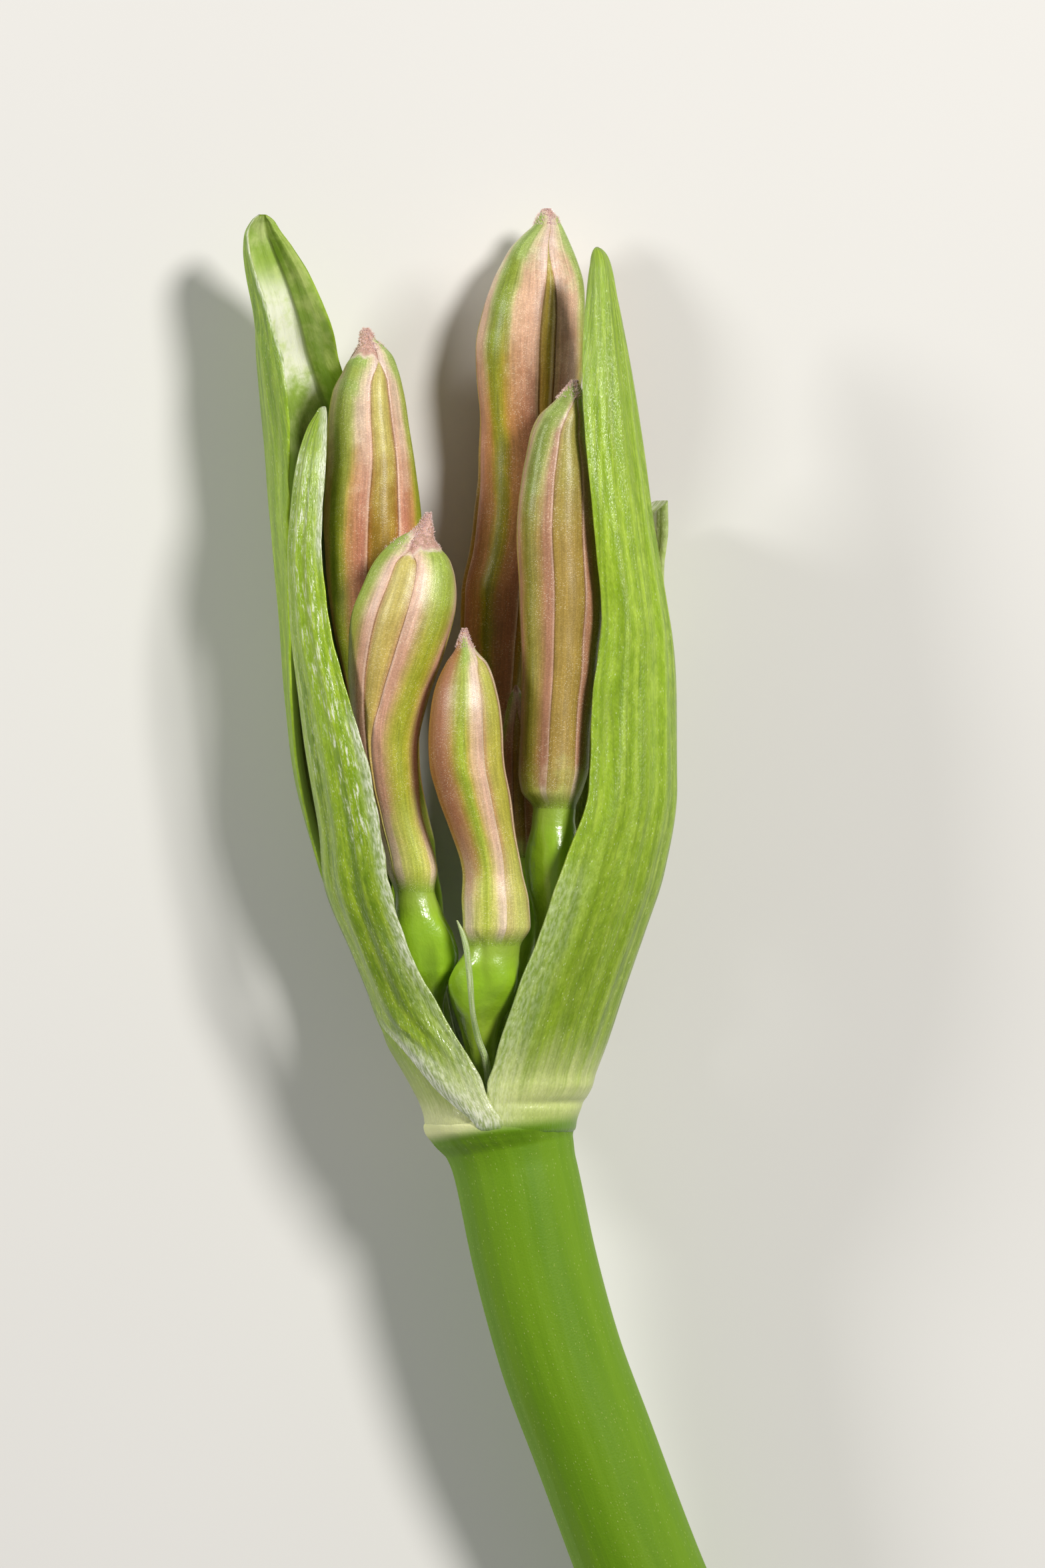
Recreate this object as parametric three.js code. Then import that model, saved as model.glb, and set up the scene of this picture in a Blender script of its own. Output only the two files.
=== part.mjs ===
// Bud head of a red spider lily on a cut scape, lying on its back. Millimetres, +Z up.
// Head frame: X to the right, Y up the head from the middle of the collar, Z from the surface towards the
// open front. At the end of this file the whole head is moved so that its origin is under its middle.
import * as THREE from 'three';

// Driving dimensions
const SCAPE_DIAMETER = 5.8;
const LEDGE_Y = 0.3;
const REST_Z = -6.6;
const VALVE_THICKNESS = 0.7;
const BRACT_THICKNESS = 0.6;
const RIB_HEIGHT = 0.05;
const KEEL_HEIGHT = 0.25;
const KEEL_DEGREES = 18;
const TIP_HOLLOW = 0.12;

// Shares of a bud's half-width
const TEPAL_STEP = 0.07;
const MIDRIB_HEIGHT = 0.045;
const MARGIN_FALL = 0.03;
const OVARY_LOBE = 0.08;
const BUD_DEPTH_RATIO = 0.95;

// Share of a perianth's length over which its tube opens into separate tepals
const TUBE_SHARE = 0.3;
const MIDRIB_DEGREES = 12;

// How finely each kind of piece is divided
const SCAPE_GRID = { around: 28, along: 12 };
const VALVE_GRID = { rows: 26, across: 18, ribs: 6 };
const FRONT_BRACT_GRID = { rows: 18, across: 12, ribs: 4 };
const BACK_BRACT_GRID = { rows: 14, across: 10, ribs: 3 };
const BUD_ROWS = { tepals: 20, stalk: 12 };
const SMALL_BUD_ROWS = { tepals: 12, stalk: 10 };
const OVARY_SIDES = 15;
const BRACTEOLE_GRID = { around: 6, along: 9 };

const GREEN = { color: 0x8fb536, roughness: 0.45, metalness: 0 };
const SILVER_GREEN = { color: 0x93a86a, roughness: 0.4, metalness: 0 };
const PAPER = { color: 0xc9cfb4, roughness: 0.5, metalness: 0 };
const PINK = { color: 0xd99a80, roughness: 0.55, metalness: 0 };
const OVARY_GREEN = { color: 0x7db82a, roughness: 0.3, metalness: 0 };

const radians = THREE.MathUtils.degToRad;
const smooth = THREE.MathUtils.smoothstep;

// A smooth curve through stations [y, value, value, ...] that never overshoots them
function through(stations) {
  const last = stations.length - 1;
  const columns = stations[0].length - 1;
  const slope = (i, c) => (stations[i + 1][c] - stations[i][c]) / (stations[i + 1][0] - stations[i][0]);
  const tangent = (i, c) => {
    if (i === 0) return slope(0, c);
    if (i === last) return slope(last - 1, c);
    const before = slope(i - 1, c);
    const after = slope(i, c);
    if (before * after <= 0) return 0;
    const back = stations[i][0] - stations[i - 1][0];
    const ahead = stations[i + 1][0] - stations[i][0];
    const total = 3 * (back + ahead);
    return total / ((2 * ahead + back) / before + (ahead + 2 * back) / after);
  };
  return (y) => {
    let i = 0;
    while (i < last - 1 && y > stations[i + 1][0]) i += 1;
    const span = stations[i + 1][0] - stations[i][0];
    const t = THREE.MathUtils.clamp((y - stations[i][0]) / span, 0, 1);
    const values = [];
    for (let c = 1; c <= columns; c += 1) {
      const a = stations[i][c];
      const b = stations[i + 1][c];
      const ta = tangent(i, c) * span;
      const tb = tangent(i + 1, c) * span;
      const t2 = t * t;
      const t3 = t2 * t;
      values.push(
        (2 * t3 - 3 * t2 + 1) * a + (t3 - 2 * t2 + t) * ta + (3 * t2 - 2 * t3) * b + (t3 - t2) * tb,
      );
    }
    return values;
  };
}

// Heights from base to tip, closer together at both ends: 0 is even, towards 1 the ends are crowded
function levels(base, tip, count, crowd) {
  return Array.from({ length: count + 1 }, (_, i) => {
    const u = i / count;
    return base + (tip - base) * (u - (crowd * Math.sin(2 * Math.PI * u)) / (2 * Math.PI));
  });
}

// What lies on the surface is pressed flat where it would reach below it
function rested(point) {
  return new THREE.Vector3(point.x, point.y, Math.max(point.z, REST_Z));
}

// One closed body from a list of points and triangles, faces outward
function body(points, triangles) {
  const kept = points.map(rested);
  let volume = 0;
  for (const [a, b, c] of triangles) {
    volume += kept[a].dot(new THREE.Vector3().crossVectors(kept[b], kept[c])) / 6;
  }
  const index = triangles.flatMap(([a, b, c]) => (volume > 0 ? [a, b, c] : [a, c, b]));
  const geometry = new THREE.BufferGeometry();
  geometry.setAttribute('position', new THREE.Float32BufferAttribute(kept.flatMap((p) => p.toArray()), 3));
  geometry.setIndex(index);
  geometry.computeVertexNormals();
  return geometry;
}

// A solid lofted through rings of points, its two ends closed by flat fans
function loft(rings) {
  const around = rings[0].length;
  const points = rings.flat();
  const triangles = [];
  for (let i = 0; i + 1 < rings.length; i += 1) {
    for (let j = 0; j < around; j += 1) {
      const a = i * around + j;
      const b = i * around + ((j + 1) % around);
      triangles.push([a, b, a + around], [b, b + around, a + around]);
    }
  }
  for (const [ring, start, turn] of [
    [rings[0], 0, false],
    [rings[rings.length - 1], (rings.length - 1) * around, true],
  ]) {
    const middle = ring.reduce((sum, p) => sum.add(p), new THREE.Vector3()).divideScalar(around);
    const hub = points.push(middle) - 1;
    for (let j = 0; j < around; j += 1) {
      const a = start + j;
      const b = start + ((j + 1) % around);
      triangles.push(turn ? [a, b, hub] : [b, a, hub]);
    }
  }
  return body(points, triangles);
}

// A blade of a given thickness: a grid of outer points and a grid of inner points, joined all round
function blade(outer, inner) {
  const rows = outer.length;
  const across = outer[0].length;
  const points = [...outer.flat(), ...inner.flat()];
  const back = rows * across;
  const triangles = [];
  const at = (i, j) => i * across + j;
  for (let i = 0; i + 1 < rows; i += 1) {
    for (let j = 0; j + 1 < across; j += 1) {
      const [a, b, c, d] = [at(i, j), at(i, j + 1), at(i + 1, j), at(i + 1, j + 1)];
      triangles.push([a, b, c], [b, d, c]);
      triangles.push([back + a, back + c, back + b], [back + b, back + c, back + d]);
    }
  }
  const rim = [];
  for (let j = 0; j < across; j += 1) rim.push(at(0, j));
  for (let i = 1; i < rows; i += 1) rim.push(at(i, across - 1));
  for (let j = across - 2; j >= 0; j -= 1) rim.push(at(rows - 1, j));
  for (let i = rows - 2; i > 0; i -= 1) rim.push(at(i, 0));
  for (let k = 0; k < rim.length; k += 1) {
    const a = rim[k];
    const b = rim[(k + 1) % rim.length];
    triangles.push([b, a, back + b], [a, back + a, back + b]);
  }
  return body(points, triangles);
}

// A spathe valve or bract. Each station is one level of it, an arc of an ellipse:
// [y, middle x, middle z, half-width, half-depth, first margin angle, second margin angle]
// with angles from +X towards the open front. Ribs run along it and are raised from the arc, and a keeled
// one has a fold where its section is deepest, at the angle 'keel'.
function spathe({ stations, thickness, rows, across, ribs, keel }) {
  const shape = through(stations);
  const base = stations[0][0];
  const tip = stations[stations.length - 1][0];
  const grid = (inset) => levels(base, tip, rows, 0.5).map((y) => {
    const lowered = y - inset * smooth(y, tip - 3 * thickness, tip);
    const [x, z, halfWidth, halfDepth, from, to] = shape(lowered);
    return Array.from({ length: across + 1 }, (_, j) => {
      const u = j / across;
      const degrees = from + (to - from) * u;
      const angle = radians(degrees);
      const fade = Math.min(1, halfWidth / 1.5) * smooth(y, base + 1, base + 5);
      const fold = keel ? KEEL_HEIGHT * Math.exp(-(((degrees - keel) / KEEL_DEGREES) ** 2)) : 0;
      const rise = fade * (fold + RIB_HEIGHT * Math.cos(2 * Math.PI * ribs * u));
      const a = Math.max(halfWidth + rise - inset, TIP_HOLLOW * halfWidth);
      const b = Math.max(halfDepth + rise - inset, TIP_HOLLOW * halfDepth);
      return new THREE.Vector3(x + a * Math.cos(angle), lowered, z + b * Math.sin(angle));
    });
  });
  return blade(grid(0), grid(thickness));
}

// Round sections along a curve of stations [y, middle x, half-width, middle z], turned by 'twist' degrees
function sections(stations, heights, angles, relief, twist = () => 0) {
  const shape = through(stations);
  return heights.map((y) => {
    const [x, halfWidth, z] = shape(y);
    return angles.map((angle) => {
      const r = halfWidth * (1 + relief(angle, y));
      const a = radians(angle + twist(y));
      return new THREE.Vector3(x + r * Math.sin(a), y, z + BUD_DEPTH_RATIO * r * Math.cos(a));
    });
  });
}

// Closed perianth: three broad outer tepals, each with a midrib, over three inner tepals that show between
// them as narrow strips. The tepals are one tube at the neck. 'edge' is half the angle that an outer tepal
// covers, and 'turn' lists where the first strip faces, as [y, angle from the open front towards +X].
function perianth({ stations, turn, edge, rows }) {
  const outerSteps = [-edge, -0.72 * edge, -0.3 * edge, 0, 0.3 * edge, 0.72 * edge, edge];
  const innerSteps = [edge + 2, 60, 118 - edge];
  const angles = [0, 120, 240].flatMap((k) => [...outerSteps, ...innerSteps].map((s) => s + k));
  const base = stations[0][0];
  const tip = stations[stations.length - 1][0];
  const relief = (angle, y) => {
    const open = smooth(y, base, base + TUBE_SHARE * (tip - base));
    const offset = ((angle + 60) % 120) - 60;
    if (Math.abs(offset) > edge + 1) {
      const middle = Math.cos(radians((90 * (60 - Math.abs(offset))) / (60 - edge)));
      return -open * TEPAL_STEP * (1.3 - 0.8 * middle);
    }
    const midrib = MIDRIB_HEIGHT * Math.exp(-((offset / MIDRIB_DEGREES) ** 2));
    return open * (midrib - MARGIN_FALL * (offset / edge) ** 2);
  };
  const twist = through(turn);
  return loft(sections(stations, levels(base, tip, rows, 0.7), angles, relief, (y) => 60 + twist(y)[0]));
}

// Pedicel that swells into a three-lobed ovary between the heights 'swell'. 'lobes' is the first one's angle.
function ovary({ stations, lobes, swell, rows }) {
  const angles = Array.from({ length: OVARY_SIDES }, (_, j) => (360 * j) / OVARY_SIDES);
  const [low, high] = swell;
  const base = stations[0][0];
  const neck = stations[stations.length - 1][0];
  const relief = (angle, y) => {
    const lobed = smooth(y, low - 1, low + 1) * (1 - smooth(y, high - 1, high));
    return OVARY_LOBE * lobed * Math.cos(radians(3 * angle));
  };
  return loft(sections(stations, levels(base, neck, rows, 0.3), angles, relief, () => lobes));
}

// The middle of the scape, from its cut end to just under the collar
const SCAPE_PATH = [
  [10.1, -29, -3.84],
  [6.5, -20.7, -2.05],
  [4.3, -14.8, -1.1],
  [2.75, -10.6, -0.6],
  [1.6, -6.4, -0.25],
  [0.68, -2.1, 0],
];

// Rings of the collar up to the ledge: [middle x, y, radius, lean in degrees]
const COLLAR = [
  [0.4, -1.0, 3.0, 10],
  [0.1, -0.5, 3.3, 6],
  [-0.05, -0.1, 3.58, 3],
  [-0.1, LEDGE_Y, 3.65, 0],
];

// Solid scape: round sections square to its path, the cut end first, then the collar
function scape({ around, along }) {
  const path = new THREE.CatmullRomCurve3(SCAPE_PATH.map((p) => new THREE.Vector3(...p)));
  const ring = (middle, radius, lean, pitch) => Array.from({ length: around }, (_, j) => {
    const a = (2 * Math.PI * j) / around;
    const across = new THREE.Vector3(Math.cos(lean), Math.sin(lean), 0).multiplyScalar(radius * Math.cos(a));
    const up = new THREE.Vector3(0, -Math.sin(pitch), Math.cos(pitch)).multiplyScalar(radius * Math.sin(a));
    return middle.clone().add(across).add(up);
  });
  const rings = [];
  for (let i = 0; i <= along; i += 1) {
    const tangent = path.getTangentAt(i / along);
    const lean = Math.atan2(-tangent.x, tangent.y);
    rings.push(ring(path.getPointAt(i / along), SCAPE_DIAMETER / 2, lean, Math.asin(tangent.z)));
  }
  for (const [x, y, radius, lean] of COLLAR) {
    rings.push(ring(new THREE.Vector3(x, y, 0), radius, radians(lean), 0));
  }
  return loft(rings);
}

// Papery sliver with a round section
function sliver({ around, along }) {
  const angles = Array.from({ length: around }, (_, j) => (360 * j) / around);
  const heights = levels(BRACTEOLE[0][0], BRACTEOLE[BRACTEOLE.length - 1][0], along, 0);
  return loft(sections(BRACTEOLE, heights, angles, () => 0));
}

const LEFT_VALVE = [
  [LEDGE_Y, 0, 0, 3.35, 3.35, 194, 260],
  [4, -1.3, -0.6, 4.1, 3.7, 190, 268],
  [8, -2.7, -1.0, 4.2, 4.2, 184, 275],
  [12, -4.1, -1.4, 4.5, 4.45, 176, 282],
  [16, -5.2, -1.8, 4.45, 4.5, 168, 288],
  [20, -6.0, -2.05, 4.15, 4.46, 162, 292],
  [24, -6.6, -2.15, 3.8, 4.36, 155, 296],
  [28, -7.3, -2.2, 3.55, 4.22, 141, 300],
  [32, -8.1, -2.3, 3.0, 3.95, 129, 306],
  [34, -8.75, -2.4, 2.55, 3.75, 121, 316],
  [36, -9.35, -2.3, 2.15, 3.2, 116, 329],
  [38, -9.8, -2.0, 1.85, 2.4, 122, 345],
  [40, -10.45, -1.8, 1.55, 1.7, 115, 345],
  [41.3, -10.95, -1.6, 1.17, 1.1, 110, 350],
  [42.3, -11.2, -1.5, 0.68, 0.6, 105, 360],
  [42.8, -11.2, -1.5, 0.12, 0.12, 95, 380],
];

const RIGHT_VALVE = [
  [LEDGE_Y, 0, 0, 3.4, 3.4, 99, -30],
  [2, 0.15, 0.15, 4.13, 3.55, 97, -30],
  [4, 0.63, 0.25, 4.37, 3.8, 95, -29],
  [6, 1.16, 0.3, 4.49, 3.9, 92, -28],
  [9, 1.9, 0.4, 4.8, 3.95, 90, -28],
  [12, 2.62, 0.5, 5.03, 3.9, 88, -26],
  [16, 3.35, 0.5, 4.9, 3.8, 80, -25],
  [20, 3.4, 0.5, 4.8, 3.6, 78, -25],
  [24, 3.9, 0.55, 3.95, 3.4, 76, -25],
  [28, 3.8, 0.65, 3.39, 3.05, 80, -25],
  [32, 3.95, 0.85, 2.65, 2.4, 90, -35],
  [36, 4.31, 1.0, 1.64, 1.6, 110, -60],
  [39, 4.52, 1.2, 0.88, 1.0, 135, -100],
  [40.5, 4.54, 1.3, 0.56, 0.7, 150, -140],
  [41.2, 4.5, 1.3, 0.1, 0.12, 160, -160],
];

const FRONT_LEFT_BRACT = [
  [LEDGE_Y, -0.2, 0, 3.45, 3.4, 102, 188],
  [1, -0.5, 0, 3.65, 3.45, 97, 187],
  [2.2, -0.9, 0.1, 3.85, 3.5, 89.5, 186],
  [4, -1.6, 0.2, 3.85, 3.55, 95, 186],
  [6, -2.4, 0.3, 3.8, 3.4, 100.6, 185],
  [8, -3.2, 0.5, 3.8, 3.3, 105, 184],
  [11, -4.4, 0.7, 3.85, 3.2, 101, 182],
  [14, -5.1, 0.9, 3.5, 3.1, 99, 178],
  [17, -5.8, 1.0, 3.3, 3.1, 97, 176],
  [20, -6.6, 1.1, 2.9, 2.8, 100, 176],
  [24, -7.55, 1.15, 2.4, 2.4, 103, 178],
  [28, -8.0, 1.1, 2.0, 2.1, 101.5, 178],
  [31, -8.0, 1.1, 1.65, 1.7, 97, 178],
  [32.7, -8.1, 1.1, 1.0, 1.1, 93, 180],
  [33.4, -8.15, 1.1, 0.5, 0.6, 90, 185],
  [33.75, -8.25, 1.1, 0.1, 0.12, 85, 190],
];

const BACK_RIGHT_BRACT = [
  [LEDGE_Y, 0, 0, 3.35, 3.35, 267, 324],
  [8, 1.8, -0.9, 4.1, 4.2, 274, 325],
  [16, 2.9, -1.3, 4.6, 5.0, 272, 332],
  [22, 3.2, -1.6, 4.7, 5.2, 272, 338],
  [26, 3.4, -1.6, 4.4, 5.0, 285, 350],
  [28, 3.7, -1.9, 4.25, 4.6, 310, 352],
  [29.4, 3.8, -2.0, 4.1, 4.4, 338, 354],
];

// Buds by place. Perianth and pedicel stations are [y, middle x, half-width, middle z].
const BUDS = {
  back_left: {
    edge: 43,
    turn: [[13, 0], [20, 5], [27, 13], [29.5, 18], [32.5, 26], [36, 27]],
    swell: [9, 12],
    tepals: [
      [13, -4.05, 0.95, -2.5],
      [14.5, -4.55, 1.3, -2.65],
      [17, -5.05, 1.5, -2.8],
      [20, -5.45, 1.75, -2.95],
      [24, -5.9, 2.15, -2.9],
      [28, -6.08, 2.33, -2.88],
      [31, -6.2, 2.09, -2.82],
      [33.5, -6.32, 1.83, -2.8],
      [34.5, -6.3, 1.65, -2.8],
      [35.5, -6.17, 1.3, -2.8],
      [36.2, -6.12, 0.98, -2.8],
      [36.7, -6.17, 0.58, -2.8],
      [37.0, -6.33, 0.34, -2.8],
      [37.45, -6.35, 0.1, -2.8],
    ],
    stalk: [
      [LEDGE_Y, -1.2, 0.55, -1.15],
      [4, -2.6, 0.55, -1.6],
      [7.5, -3.35, 0.6, -2.0],
      [9, -3.65, 0.95, -2.15],
      [10.7, -3.95, 1.15, -2.3],
      [12.2, -4.05, 1.05, -2.4],
      [13, -4.05, 0.95, -2.5],
    ],
  },
  back_tall: {
    edge: 48,
    turn: [[17, 45], [28, 40], [31, 32], [34, 22], [38.5, 24], [41.5, 30]],
    swell: [13.5, 16],
    tepals: [
      [17, -0.25, 0.95, -3.25],
      [18.5, -0.3, 1.25, -3.35],
      [21, -0.25, 1.55, -3.5],
      [25, -0.05, 1.9, -3.7],
      [27, 0.45, 2.0, -3.75],
      [29, 0.8, 2.1, -3.75],
      [31, 1.05, 2.15, -3.75],
      [33.5, 1.25, 2.3, -3.75],
      [36.5, 1.3, 2.55, -3.75],
      [38.5, 1.48, 2.38, -3.75],
      [39.7, 1.68, 2.12, -3.75],
      [40.5, 1.78, 1.82, -3.75],
      [41.3, 1.86, 1.44, -3.7],
      [41.9, 2.02, 1.02, -3.7],
      [42.4, 2.16, 0.64, -3.7],
      [42.8, 2.15, 0.45, -3.7],
      [43.15, 2.15, 0.12, -3.7],
    ],
    stalk: [
      [LEDGE_Y, 0.2, 0.55, -1.6],
      [5, 0.05, 0.55, -2.0],
      [9, 0, 0.6, -2.4],
      [12, -0.1, 0.7, -2.7],
      [13.5, -0.15, 1.1, -2.95],
      [15, -0.2, 1.25, -3.1],
      [16.3, -0.25, 1.05, -3.2],
      [17, -0.25, 0.95, -3.25],
    ],
  },
  front_left: {
    edge: 46,
    turn: [[11, -45], [19, -38], [21, -31], [24, -20], [26, -18]],
    swell: [7, 10],
    tepals: [
      [11, -4.05, 0.95, 1.6],
      [12.2, -4.2, 1.22, 1.7],
      [14.5, -4.85, 1.2, 1.85],
      [16, -5.15, 1.35, 1.95],
      [18, -5.35, 1.5, 2.05],
      [20, -5.2, 1.8, 2.1],
      [22, -4.9, 2.2, 2.1],
      [24, -4.53, 2.43, 2.1],
      [25.7, -4.2, 2.1, 2.1],
      [26.4, -4.12, 1.83, 2.1],
      [27, -4.05, 1.45, 2.1],
      [27.5, -3.97, 0.98, 2.1],
      [27.9, -3.68, 0.6, 2.1],
      [28.2, -3.55, 0.38, 2.1],
      [28.75, -3.4, 0.1, 2.1],
    ],
    stalk: [
      [LEDGE_Y, -1.55, 0.55, 0.3],
      [3, -2.4, 0.55, 0.6],
      [5.5, -3.3, 0.6, 0.85],
      [6.4, -3.4, 0.85, 0.95],
      [7.4, -3.5, 1.35, 1.0],
      [8, -3.5, 1.42, 1.1],
      [9, -3.65, 1.35, 1.35],
      [10.2, -3.9, 1.1, 1.5],
      [11, -4.05, 0.95, 1.6],
    ],
  },
  front_small: {
    edge: 50,
    turn: [[8.5, 40], [23.3, 40]],
    swell: [6, 7.8],
    tepals: [
      [8.5, -0.12, 1.07, 2.9],
      [9.4, -0.17, 1.58, 3.0],
      [10.5, -0.27, 1.58, 3.1],
      [12, -0.42, 1.42, 3.2],
      [14.1, -0.93, 1.57, 3.35],
      [15.5, -1.28, 1.72, 3.45],
      [17, -1.6, 1.8, 3.55],
      [18, -1.66, 1.79, 3.6],
      [19.5, -1.67, 1.67, 3.65],
      [20.3, -1.67, 1.52, 3.65],
      [21.7, -1.62, 0.98, 3.65],
      [22.3, -1.67, 0.52, 3.65],
      [22.8, -1.72, 0.3, 3.65],
      [23.3, -1.7, 0.08, 3.65],
    ],
    stalk: [
      [LEDGE_Y, -0.4, 0.5, 1.1],
      [3.3, -0.85, 0.65, 1.5],
      [4.5, -0.98, 0.87, 1.85],
      [5.3, -0.93, 1.15, 2.1],
      [6.5, -0.76, 1.64, 2.4],
      [7.2, -0.6, 1.6, 2.6],
      [8, -0.4, 1.35, 2.8],
      [8.5, -0.12, 1.07, 2.9],
    ],
  },
  right: {
    edge: 46,
    turn: [[14.9, 8], [30, 8], [32.3, 20], [33.3, 26]],
    swell: [11, 14],
    tepals: [
      [14.9, 2.5, 1.0, 1.5],
      [15.7, 2.37, 1.43, 1.5],
      [16.8, 2.45, 1.65, 1.5],
      [18.3, 2.5, 1.65, 1.5],
      [22, 2.7, 1.8, 1.45],
      [25, 2.75, 1.95, 1.4],
      [28, 2.62, 1.94, 1.4],
      [30.5, 2.68, 1.73, 1.4],
      [32.2, 2.65, 1.35, 1.4],
      [33.3, 2.83, 1.08, 1.4],
      [34, 3.15, 0.68, 1.4],
      [34.5, 3.35, 0.43, 1.4],
      [34.95, 3.45, 0.12, 1.4],
    ],
    stalk: [
      [LEDGE_Y, 1.5, 0.5, 0.5],
      [4, 1.7, 0.5, 0.65],
      [7, 2.0, 0.55, 0.9],
      [9.3, 2.3, 0.7, 1.1],
      [10.4, 2.5, 1.05, 1.25],
      [11.5, 2.5, 1.25, 1.35],
      [12.5, 2.45, 1.25, 1.4],
      [13.5, 2.45, 1.15, 1.45],
      [14.3, 2.45, 1.02, 1.5],
      [14.9, 2.5, 1.0, 1.5],
    ],
  },
  hidden_small: {
    edge: 46,
    turn: [[12.6, 0], [20.7, 0]],
    swell: [9.5, 12],
    tepals: [
      [12.6, 0.95, 0.7, -0.8],
      [13.4, 0.9, 0.95, -0.8],
      [15.5, 0.82, 1.0, -0.8],
      [17.5, 0.78, 0.95, -0.8],
      [19, 0.75, 0.62, -0.8],
      [20, 0.73, 0.4, -0.8],
      [20.7, 0.7, 0.08, -0.8],
    ],
    stalk: [
      [LEDGE_Y, 0.05, 0.45, -0.3],
      [3, 0.3, 0.45, -0.4],
      [7, 0.8, 0.45, -0.7],
      [8.5, 0.92, 0.75, -0.8],
      [10.2, 1.0, 0.95, -0.8],
      [11.6, 0.98, 0.85, -0.8],
      [12.6, 0.95, 0.7, -0.8],
    ],
  },
};

// Papery sliver that stands before the small front bud: [y, middle x, half-width, middle z]
const BRACTEOLE = [
  [LEDGE_Y, -0.7, 0.3, 2.1],
  [2.6, -0.75, 0.3, 2.55],
  [4.5, -1.25, 0.3, 3.4],
  [6.5, -1.45, 0.3, 4.4],
  [8.3, -1.6, 0.3, 4.6],
  [9.1, -1.8, 0.25, 4.6],
  [9.7, -2.05, 0.12, 4.6],
];

const group = new THREE.Group();
const head = new THREE.Group();
group.add(head);

function addPiece(name, geometry, look) {
  const mesh = new THREE.Mesh(geometry, new THREE.MeshStandardMaterial(look));
  mesh.name = name;
  head.add(mesh);
}

addPiece('scape', scape(SCAPE_GRID), GREEN);
for (const [name, look, stations, thickness, grid] of [
  ['spathe_valve_left', GREEN, LEFT_VALVE, VALVE_THICKNESS, { ...VALVE_GRID, keel: 280 }],
  ['spathe_valve_right', GREEN, RIGHT_VALVE, VALVE_THICKNESS, VALVE_GRID],
  ['bract_front_left', SILVER_GREEN, FRONT_LEFT_BRACT, BRACT_THICKNESS, FRONT_BRACT_GRID],
  ['bract_back_right', SILVER_GREEN, BACK_RIGHT_BRACT, VALVE_THICKNESS, BACK_BRACT_GRID],
]) {
  addPiece(name, spathe({ stations, thickness, ...grid }), look);
}
addPiece('bracteole', sliver(BRACTEOLE_GRID), PAPER);
for (const [place, bud] of Object.entries(BUDS)) {
  const { tepals, stalk, turn, edge, swell } = bud;
  const rows = place === 'hidden_small' ? SMALL_BUD_ROWS : BUD_ROWS;
  const lobes = turn[0][1];
  addPiece(`bud_${place}`, perianth({ stations: tepals, turn, edge, rows: rows.tepals }), PINK);
  addPiece(`ovary_${place}`, ovary({ stations: stalk, lobes, swell, rows: rows.stalk }), OVARY_GREEN);
}

// Origin under the middle of the whole head, on the surface that it rests on
const box = new THREE.Box3().setFromObject(head);
head.position.set(-(box.min.x + box.max.x) / 2, -(box.min.y + box.max.y) / 2, -REST_Z);
group.updateMatrixWorld(true);

export default group;
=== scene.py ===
# %% [markdown]
# # The opening bud head of a red spider lily
# A cut scape carries six striped buds between two green spathe valves and two smaller bracts. It lies on its
# back, with the camera straight above. Each piece is a finer surface in the place and form of the packed
# model's, worked out with numpy on a grid of two parameters.

import bpy
import numpy as np
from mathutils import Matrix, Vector


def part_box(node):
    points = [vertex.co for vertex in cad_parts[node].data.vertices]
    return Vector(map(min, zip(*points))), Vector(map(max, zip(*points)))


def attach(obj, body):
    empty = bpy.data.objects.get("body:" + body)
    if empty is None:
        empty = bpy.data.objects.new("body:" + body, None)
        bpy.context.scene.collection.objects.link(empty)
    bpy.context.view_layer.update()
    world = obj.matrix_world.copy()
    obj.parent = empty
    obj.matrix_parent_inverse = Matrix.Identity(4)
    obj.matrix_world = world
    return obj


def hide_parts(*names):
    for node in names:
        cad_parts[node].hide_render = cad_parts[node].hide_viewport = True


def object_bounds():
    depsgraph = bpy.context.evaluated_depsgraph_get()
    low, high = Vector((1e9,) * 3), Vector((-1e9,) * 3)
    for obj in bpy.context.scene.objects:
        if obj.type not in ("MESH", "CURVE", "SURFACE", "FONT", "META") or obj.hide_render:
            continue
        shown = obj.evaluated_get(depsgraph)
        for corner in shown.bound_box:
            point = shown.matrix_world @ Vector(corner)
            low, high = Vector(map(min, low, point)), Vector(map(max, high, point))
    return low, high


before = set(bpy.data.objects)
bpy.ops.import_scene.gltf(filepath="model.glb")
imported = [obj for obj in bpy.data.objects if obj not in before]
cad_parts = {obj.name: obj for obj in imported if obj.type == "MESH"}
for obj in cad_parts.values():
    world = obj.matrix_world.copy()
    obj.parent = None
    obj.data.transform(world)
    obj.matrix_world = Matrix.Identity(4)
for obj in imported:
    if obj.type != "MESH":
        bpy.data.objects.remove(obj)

cad_low, cad_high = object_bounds()
print("packed model:", [round(1000 * (b - a), 2) for a, b in zip(cad_low, cad_high)], "mm")

# %% [markdown]
# A plant is easiest to describe from where its pieces meet. So every size is in millimetres from the middle
# of the collar: X to the right, Y up the head and Z towards the open front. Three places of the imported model
# say how far that is from its own origin.

# %% Head millimetres
MM = 0.001
COLLAR_LEFT_X = -3.75
TALLEST_TIP_Y = 43.15
REST_Z = -6.6
BOX_CLEARANCE = 0.004

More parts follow.
